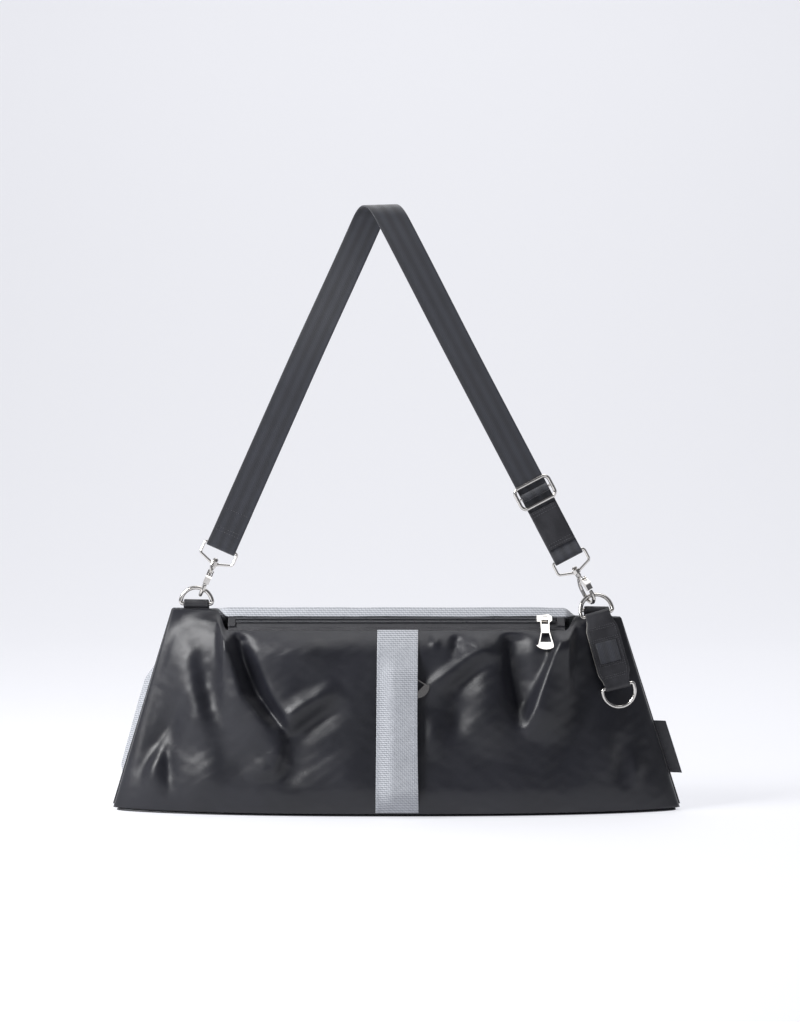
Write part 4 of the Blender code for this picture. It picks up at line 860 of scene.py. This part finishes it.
def strapStrip(a, b):
    # b counts the rows: the left fold from its cut end, the long middle, then the right fold
    acrossFold = a[:foldRows]
    depth = np.broadcast_to(foldDepth[::-1, None], acrossFold.shape)
    height = np.broadcast_to(foldHeights[::-1, None], acrossFold.shape)
    middle = a[foldRows:foldRows + len(main)]
    return np.concatenate([
        legPlace("left", acrossFold, depth, height),
        strapPlace(middle, np.broadcast_to(main[:, None], middle.shape)),
        legPlace("right", acrossFold, depth, height)[::-1]])


acrossStrap = crowded(-strap["width"] / 2, strap["width"] / 2, 13, strap["thickness"] / 2)
strapMiddle = strapStrip(*np.meshgrid(acrossStrap, np.arange(rowCount)))
strapRun = runAlong(strapMiddle[:, len(acrossStrap) // 2])
skin("strap_cloth", acrossStrap, strapRun, lambda a, b: strapMiddle, strap["thickness"], "webbing",
     edge=strap["thickness"] / 2, body="strap", swaps=("strap_webbing",), slotName="black_webbing")


def sewnRows(place, depth, heights):
    # straight rows of stitches across a leg
    across = np.linspace(-0.0125, 0.0125, 20)
    return [legPlace(place, across, np.full(20, depth), np.full(20, height)) for height in heights]


# where the webbing is sewn back on itself, on the left leg's front
stitches("strap_stitches", sewnRows("left", -strap["thickness"] / 2, (0.0150, 0.0185, 0.0380)), (0, -1, 0),
         0.0026, 0.0003, body="strap")
print("strap made")

# patch: a flat leather pad on the right leg, with two rows of stitches near each end
patch = {"low": foldStart * 1.1, "length": 0.042, "width": 0.0288, "thickness": 0.0014, "rows": (0.0022, 0.0052)}
patchStand = -(strap["thickness"] / 2 + clear + patch["thickness"] / 2)
skin("patch_leather", crowded(-patch["width"] / 2, patch["width"] / 2, 8, patch["thickness"] / 2),
     crowded(patch["low"], patch["low"] + patch["length"], 12, patch["thickness"] / 2),
     lambda a, b: legPlace("right", a, np.full(a.shape, patchStand), b), patch["thickness"], "leather",
     body="strap", swaps=("strap_patch",), slotName="black_leather")
patchRows = [patch["low"] + row for row in patch["rows"]]
patchRows += [patch["low"] + patch["length"] - row for row in patch["rows"][::-1]]
stitches("patch_stitches", sewnRows("right", patchStand - patch["thickness"] / 2, patchRows), (0, -1, 0),
         0.0024, 0.0003, body="strap")

# slide: a rounded wire frame, with the webbing humped over its bar
slide = {"distance": 0.0716, "width": 0.0375, "height": 0.0225, "wire": 0.0018, "corner": 0.0055,
         "bar": 0.0014, "wrap": 0.0012}


def corners(width, height, corner, steps=8):
    # a rectangle with round corners, anticlockwise from the lower right one
    points = []
    for cx, cz, start in ((1, -1, -90), (1, 1, 0), (-1, 1, 90), (-1, -1, 180)):
        angle = np.radians(np.linspace(start, start + 90, steps + 1))
        points.append(np.stack([cx * (width / 2 - corner) + corner * np.cos(angle),
                                cz * (height / 2 - corner) + corner * np.sin(angle)], -1))
    return np.concatenate(points)


slideStand = -(strap["thickness"] / 2 + clear + slide["wire"])
outline = corners(slide["width"], slide["height"], slide["corner"])
slidePath = legPlace("right", outline[:, 0], np.full(len(outline), slideStand), slide["distance"] + outline[:, 1])
tube("slide_wire", slidePath, slide["wire"], closed=True, body="slide", swaps=("slide_frame",), slotName="nickel")


def humpPlace(a, b):
    # half a turn over the bar
    angle = np.radians(-12 + 204 * b)
    reach = slide["bar"] + clear + strap["thickness"] / 2
    return legPlace("right", a, slideStand - reach * np.sin(angle),
                    slide["distance"] - (reach + 0.0010) * np.cos(angle))


skin("slide_cloth", crowded(-0.0146, 0.0146, 12, slide["wrap"] / 2), np.linspace(0, 1, 24), humpPlace,
     slide["wrap"], "webbing", edge=slide["wrap"] / 2, body="slide", swaps=("slide_wrap",),
     slotName="black_webbing")
print("slide and patch made")


def ringPath(radius, side, corner, steps=40):
    # a D: half a circle over straight sides, with a straight bar at the bottom
    reach = radius - corner if side > corner else math.sqrt((radius - corner) ** 2 - corner ** 2)
    turn = 0 if side > corner else math.degrees(math.atan2(corner, reach))
    low = np.radians(np.linspace(-90, turn, 8))
    right = np.stack([reach + corner * np.cos(low), corner + corner * np.sin(low)], -1)
    over = np.radians(np.linspace(turn, 180 - turn, steps))
    lift = side if side > corner else 0
    top = np.stack([radius * np.cos(over), lift + radius * np.sin(over)], -1)
    if side <= corner:
        top = top[1:-1]
    left = right[::-1] * np.array([-1, 1])
    return np.concatenate([right, top, left])


def inFrame(origin, across, up, flat):
    # a flat outline laid in the plane of two directions
    return np.asarray(origin) + flat[:, :1] * np.asarray(across) + flat[:, 1:] * np.asarray(up)


ringOutline = ringPath(ring["radius"], 0, ring["corner"])
for place in ("left", "right"):
    tube("ring_wire_" + place, inFrame(anchors[place], anchorLine, (0, 0, 1), ringOutline), ring["wire"],
         sides=20, closed=True, body="ring_" + place, swaps=("d_ring_" + place,), slotName="nickel")

# a loop of leather hangs each ring from the bag: down one side of the seam, over the bar and down again
loop = {"width": 0.0255, "thickness": 0.0018, "turn": 0.0034, "legGap": 0.00095, "drop": 0.0200, "neck": 0.0048}
around = np.radians(np.linspace(-75, 255, 34))
loopPath = np.concatenate([
    [(loop["legGap"], -h) for h in np.linspace(loop["drop"], loop["neck"], 8)],
    np.stack([loop["turn"] * np.cos(around), loop["turn"] * np.sin(around)], -1),
    [(-loop["legGap"], -h) for h in np.linspace(loop["neck"], loop["drop"], 8)]])
loopRun = runAlong(loopPath)
for place in ("left", "right"):
    def loopPlace(a, b, place=place):
        depth = np.interp(b, loopRun, loopPath[:, 0])
        height = np.interp(b, loopRun, loopPath[:, 1])
        narrow = 1 - 0.04 * smooth(height, 0, 0.004)
        return anchors[place] + (a * narrow)[..., None] * anchorLine + np.stack([0 * a, depth, height], -1)

    rim = loop["thickness"] / 2
    skin("loop_leather_" + place, crowded(-loop["width"] / 2, loop["width"] / 2, 12, rim), loopRun, loopPlace,
         loop["thickness"], "leather", edge=rim, swaps=("leather_loop_" + place,), slotName="black_leather")
    rows = [anchors[place] + np.linspace((side * 0.0108, -0.0045, -0.0036), (side * 0.0108, -0.0045, 0.0018), 10)
            for side in (-1, 1)]
    stitches("loop_stitches_" + place, rows, (0, -1, 0), 0.0022, 0.00028)
print("rings and loops made")

# key tab: leather folded over two D-shaped wires, the upper one leaning on the bag's own ring
key = {"bar": np.array([0.200, -0.0106, 0.195]), "lean": math.radians(14.5), "length": 0.072, "width": 0.031,
       "loopWidth": 0.025, "leather": 0.0014, "wire": 0.0017, "side": 0.005, "depth": 0.0106,
       "lastDepth": 0.025267, "lowerBar": np.array([0.218027, -0.027267, 0.125293]),
       "lowerTilt": math.radians(4)}
keyUp = np.array([-math.sin(key["lean"]), 0, math.cos(key["lean"])])
keyAcross = np.array([math.cos(key["lean"]), 0, math.sin(key["lean"])])
keyLean = math.asin((key["depth"] - (ring["wire"] + key["wire"] + clear)) / (ring["radius"] + key["side"]))
upperUp = keyUp * math.cos(keyLean) + np.array([0, math.sin(keyLean), 0])
keyOutline = ringPath(ring["radius"], key["side"], ring["corner"])
turned = np.array(Matrix.Rotation(key["lowerTilt"], 3, Vector(keyAcross)) @ Vector(keyUp))
for name, bar, away, body in (("upper", key["bar"], upperUp, "key_tab"),
                              ("lower", key["lowerBar"], -turned, "key_ring")):
    tube("key_wire_" + name, inFrame(bar, keyAcross, away, keyOutline), key["wire"], sides=20, closed=True,
         body=body, swaps=("key_ring_" + name,), slotName="nickel")
keyLoop = key["wire"] + clear + key["leather"] / 2


def keyWidth(drop):
    # narrow where the leather goes round the wires, full width between
    near = smooth(np.minimum(drop, key["length"] - drop), keyLoop + 0.002, 0.016)
    return key["loopWidth"] + (key["width"] - key["loopWidth"]) * near


def keySurface(sideways, drop, stand):
    # the tab's face: a slope down the wall with a half sine wave of bulge
    share = drop / key["length"]
    depth = key["depth"] + (key["lastDepth"] - key["depth"]) * share
    depth = depth + 0.0016 * np.sin(np.pi * share) + 0.002 * share
    point = key["bar"] - drop[..., None] * keyUp + sideways[..., None] * keyAcross
    point[..., 1] = -depth + stand
    return point


def keyTurn(bar, sideways, angle):
    # half a turn of the leather round a wire's bar
    return bar + sideways[..., None] * keyAcross + np.sin(angle)[..., None] * keyLoop * keyUp \
        + np.cos(angle)[..., None] * keyLoop * backward


acrossKey = crowded(-0.5, 0.5, 15, 0.022)
aKey, turnKey = np.meshgrid(acrossKey, np.radians(np.linspace(0, 180, 14)))
aFace, dropKey = np.meshgrid(acrossKey, np.linspace(0, key["length"], 60))
puff = 0.0005 * np.cos(aFace * np.pi) * np.sin(np.pi * dropKey / key["length"])
keyMiddle = np.concatenate([
    keyTurn(key["bar"], aKey[:-1] * keyWidth(0.0), turnKey[:-1]),
    keySurface(aFace * keyWidth(dropKey), dropKey, -keyLoop - puff),
    keyTurn(key["lowerBar"], aKey[1:] * keyWidth(key["length"]), turnKey[1:] + np.pi)])
keyRun = runAlong(keyMiddle[:, len(acrossKey) // 2])
rim = key["leather"] / 2
skin("key_leather_front", acrossKey * key["width"], keyRun, lambda a, b: keyMiddle, key["leather"], "leather",
     edge=rim, body="key_tab", swaps=("key_tab_front",), slotName="black_leather")
skin("key_leather_back", acrossKey, crowded(keyLoop + 0.0022, key["length"] - keyLoop - 0.0022, 40, rim),
     lambda a, b: keySurface(a * keyWidth(b), b, -keyLoop + key["leather"] + clear), key["leather"], "leather",
     edge=rim, body="key_tab", swaps=("key_tab_back",), slotName="black_leather")
skin("key_window_cloth", crowded(-0.0105, 0.0105, 12, 0.0005),
     crowded(key["length"] * 0.37, key["length"] * 0.66, 16, 0.0005),
     lambda a, b: keySurface(a, b, -keyLoop - key["leather"] - 0.0002), 0.0010, "webbing", body="key_tab",
     swaps=("key_tab_webbing",), slotName="black_webbing")
edgeDrops = np.linspace(0.004, key["length"] - 0.004, 60)
# only the left edge takes the pale grey finish, a painted highlight from the light on the left; the right edge
# keeps the leather's own colour
for side, finish, name in ((-1, "edge", "key_edge_left"), (1, "leather", "key_edge_right")):
    line = keySurface(side * (keyWidth(edgeDrops) / 2 - 0.0003), edgeDrops, np.full(60, -keyLoop + 0.0008))
    tube(name, line, 0.00085, finish, 8, body="key_tab")
rows = []
face = -keyLoop - key["leather"] / 2 - 0.0004
for drop in (0.0115, 0.0135, 0.0235, 0.0255, 0.0485, 0.0505, 0.0600, 0.0620):
    reach = float(keyWidth(np.array(drop))) / 2 - 0.003
    across = np.linspace(-reach, reach, 20)
    rows.append(keySurface(across, np.full(20, drop), face))
for side in (-1, 1):
    rows.append(keySurface(side * (keyWidth(edgeDrops[6:-6]) / 2 - 0.0022), edgeDrops[6:-6], np.full(48, face)))
stitches("key_stitches", rows, (0, -1, 0), 0.0021, 0.00027, body="key_tab")
print("key tab made")


# side seams bound in nylon, the label sewn in one of them, and the base
binding = {"inner": 0.0070, "outer": 0.0004, "thickness": 0.0021, "rim": 0.0011}


def seamTip(side):
    return seamTop(side * bag["topHalfWidth"]) - 0.003


def seamLine(side, z):
    # half the bag's width at a height, along the straight side seam
    low = bag["seamHeight"] + 0.004
    share = (z - low) / (seamTip(side) - low)
    return halfWidth(0.02) + 0.0012 + (bag["topHalfWidth"] - halfWidth(0.02)) * share


for side, name in ((-1, "side_seam_left"), (1, "side_seam_right")):
    def seamPlace(a, b, side=side):
        return np.stack([side * (seamLine(side, b) + a), 0.0002 * np.sin(b * 300), b], -1)

    skin(name + "_binding", crowded(-binding["inner"], binding["outer"], 6, binding["rim"]),
         crowded(bag["seamHeight"] + 0.003, seamTip(side) + 0.002, 70, binding["rim"]), seamPlace,
         binding["thickness"], "nylon", swaps=(name,), slotName="black_nylon")

label = {"low": 0.037, "high": 0.089, "inner": 0.0039, "outer": 0.0121, "thickness": 0.0009}


def labelPlace(a, b):
    # bows forward towards its free edge: half a sine wave along its height
    lift = (a + label["inner"]) / (label["inner"] + label["outer"])
    bow = np.sin(np.pi * (b - label["low"]) / (label["high"] - label["low"]))
    return np.stack([seamLine(1, b) + a, -0.0010 * bow * lift - 0.0006 * lift ** 2, b - 0.0006 * lift], -1)


rim = label["thickness"] / 2
skin("label_cloth", crowded(-label["inner"], label["outer"], 10, rim),
     crowded(label["low"], label["high"], 24, rim), labelPlace, label["thickness"], "tape",
     swaps=("side_label",), slotName="black_nylon")
sewnLabel = labelPlace(np.full(30, 0.0012), np.linspace(label["low"] + 0.001, label["high"] - 0.001, 30))
stitches("label_stitches", [sewnLabel - backward * rim], (0, -1, 0), 0.0024, 0.00024)


def basePlace(a, b):
    # a lens: the same side share as the walls
    half = bag["lowDepth"] * np.clip(1 - np.abs(a / bag["bottomHalfWidth"]) ** 2.4, 0, None) ** 0.7 + bag["gap"]
    return np.stack([a, b * half, np.full_like(a, 0.0010)], -1)


skin("base_cloth", bag["bottomHalfWidth"] * 0.985 * sideLines(90), np.linspace(-1, 1, 30), basePlace, 0.0020,
     "nylon", edge=bag["rim"], swaps=("base_panel",), slotName="black_nylon")
print("seams, label and base made")

# the finish of each CAD node, shown or hidden
slotFinish = {"black_nylon": "nylon", "grey_weave": "grey", "lining_fabric": "lining", "black_leather": "leather",
              "black_webbing": "webbing", "nickel": "nickel", "zip_black": "zip", "zip_tape": "tape"}
for part in frame["record"]["subparts"]:
    node = frame["nodes"][part["node"]]
    node.data.materials.clear()
    node.data.materials.append(finishes[slotFinish[part["material_slot"]]])


# studio: a pale sweep, soft light from the upper left in front, and the camera
studio = {"near": -6.0, "bend": 2.2, "radius": 1.6, "height": 9.0, "halfWidth": 9.0, "glow": 0.62,
          "tint": (0.93, 0.94, 1.0, 1), "sky": 0.16}
sweepAngle = np.linspace(0, np.pi / 2, 14)
curve = np.stack([studio["bend"] + studio["radius"] * np.sin(sweepAngle),
                  studio["radius"] * (1 - np.cos(sweepAngle))], -1)
profile = np.concatenate([[(studio["near"], 0.0)], curve, [(curve[-1, 0], studio["height"])]])
sweepPoints = np.array([[(x, y, z) for x in (-studio["halfWidth"], 0, studio["halfWidth"])] for y, z in profile])
sweepMesh = bpy.data.meshes.new("sweep")
sweepMesh.from_pydata(sweepPoints.reshape(-1, 3).tolist(), [], gridFaces(len(profile), 3).tolist())
sweepMesh.shade_smooth()
ground = Finish("paleSweep", (0.33, 0.33, 0.335), 0.8)
ground.shader.inputs["Emission Color"].default_value = studio["tint"]
ground.shader.inputs["Emission Strength"].default_value = studio["glow"]
sweepMesh.materials.append(ground.made)
sweep = bpy.data.objects.new("sweep", sweepMesh)
bpy.context.scene.collection.objects.link(sweep)

cam = bpy.data.cameras.new("camera")
cam.lens = 70.45
cam.sensor_fit = "VERTICAL"
cam.sensor_height = 36
cam.clip_start = 0.01
eye = bpy.data.objects.new("camera", cam)
eye.matrix_world = Matrix.Translation((0.0035, -2.0, 0.298)) @ Matrix.Rotation(math.pi / 2, 4, "X")
bpy.context.scene.collection.objects.link(eye)
bpy.context.scene.camera = eye


def areaLight(name, place, target, size, power):
    lamp = bpy.data.lights.new(name, "AREA")
    lamp.energy = power
    lamp.size = size
    made = bpy.data.objects.new(name, lamp)
    place = Vector(place)
    turn = (Vector(target) - place).to_track_quat("-Z", "Y").to_matrix().to_4x4()
    made.matrix_world = Matrix.Translation(place) @ turn
    bpy.context.scene.collection.objects.link(made)


areaLight("key", (-1.15, -0.70, 0.95), (-0.05, 0, 0.1), 0.7, 33)
areaLight("top", (0.3, -0.2, 2.6), (0, 0.1, 0.1), 1.6, 22)
areaLight("back", (0.0, 1.8, 2.6), (0, 2.6, 0.3), 2.4, 24)
world = bpy.data.worlds.new("studio")
world.use_nodes = True
world.node_tree.nodes["Background"].inputs["Color"].default_value = studio["tint"]
world.node_tree.nodes["Background"].inputs["Strength"].default_value = studio["sky"]
bpy.context.scene.world = world
bpy.context.scene.view_settings.view_transform = "Standard"
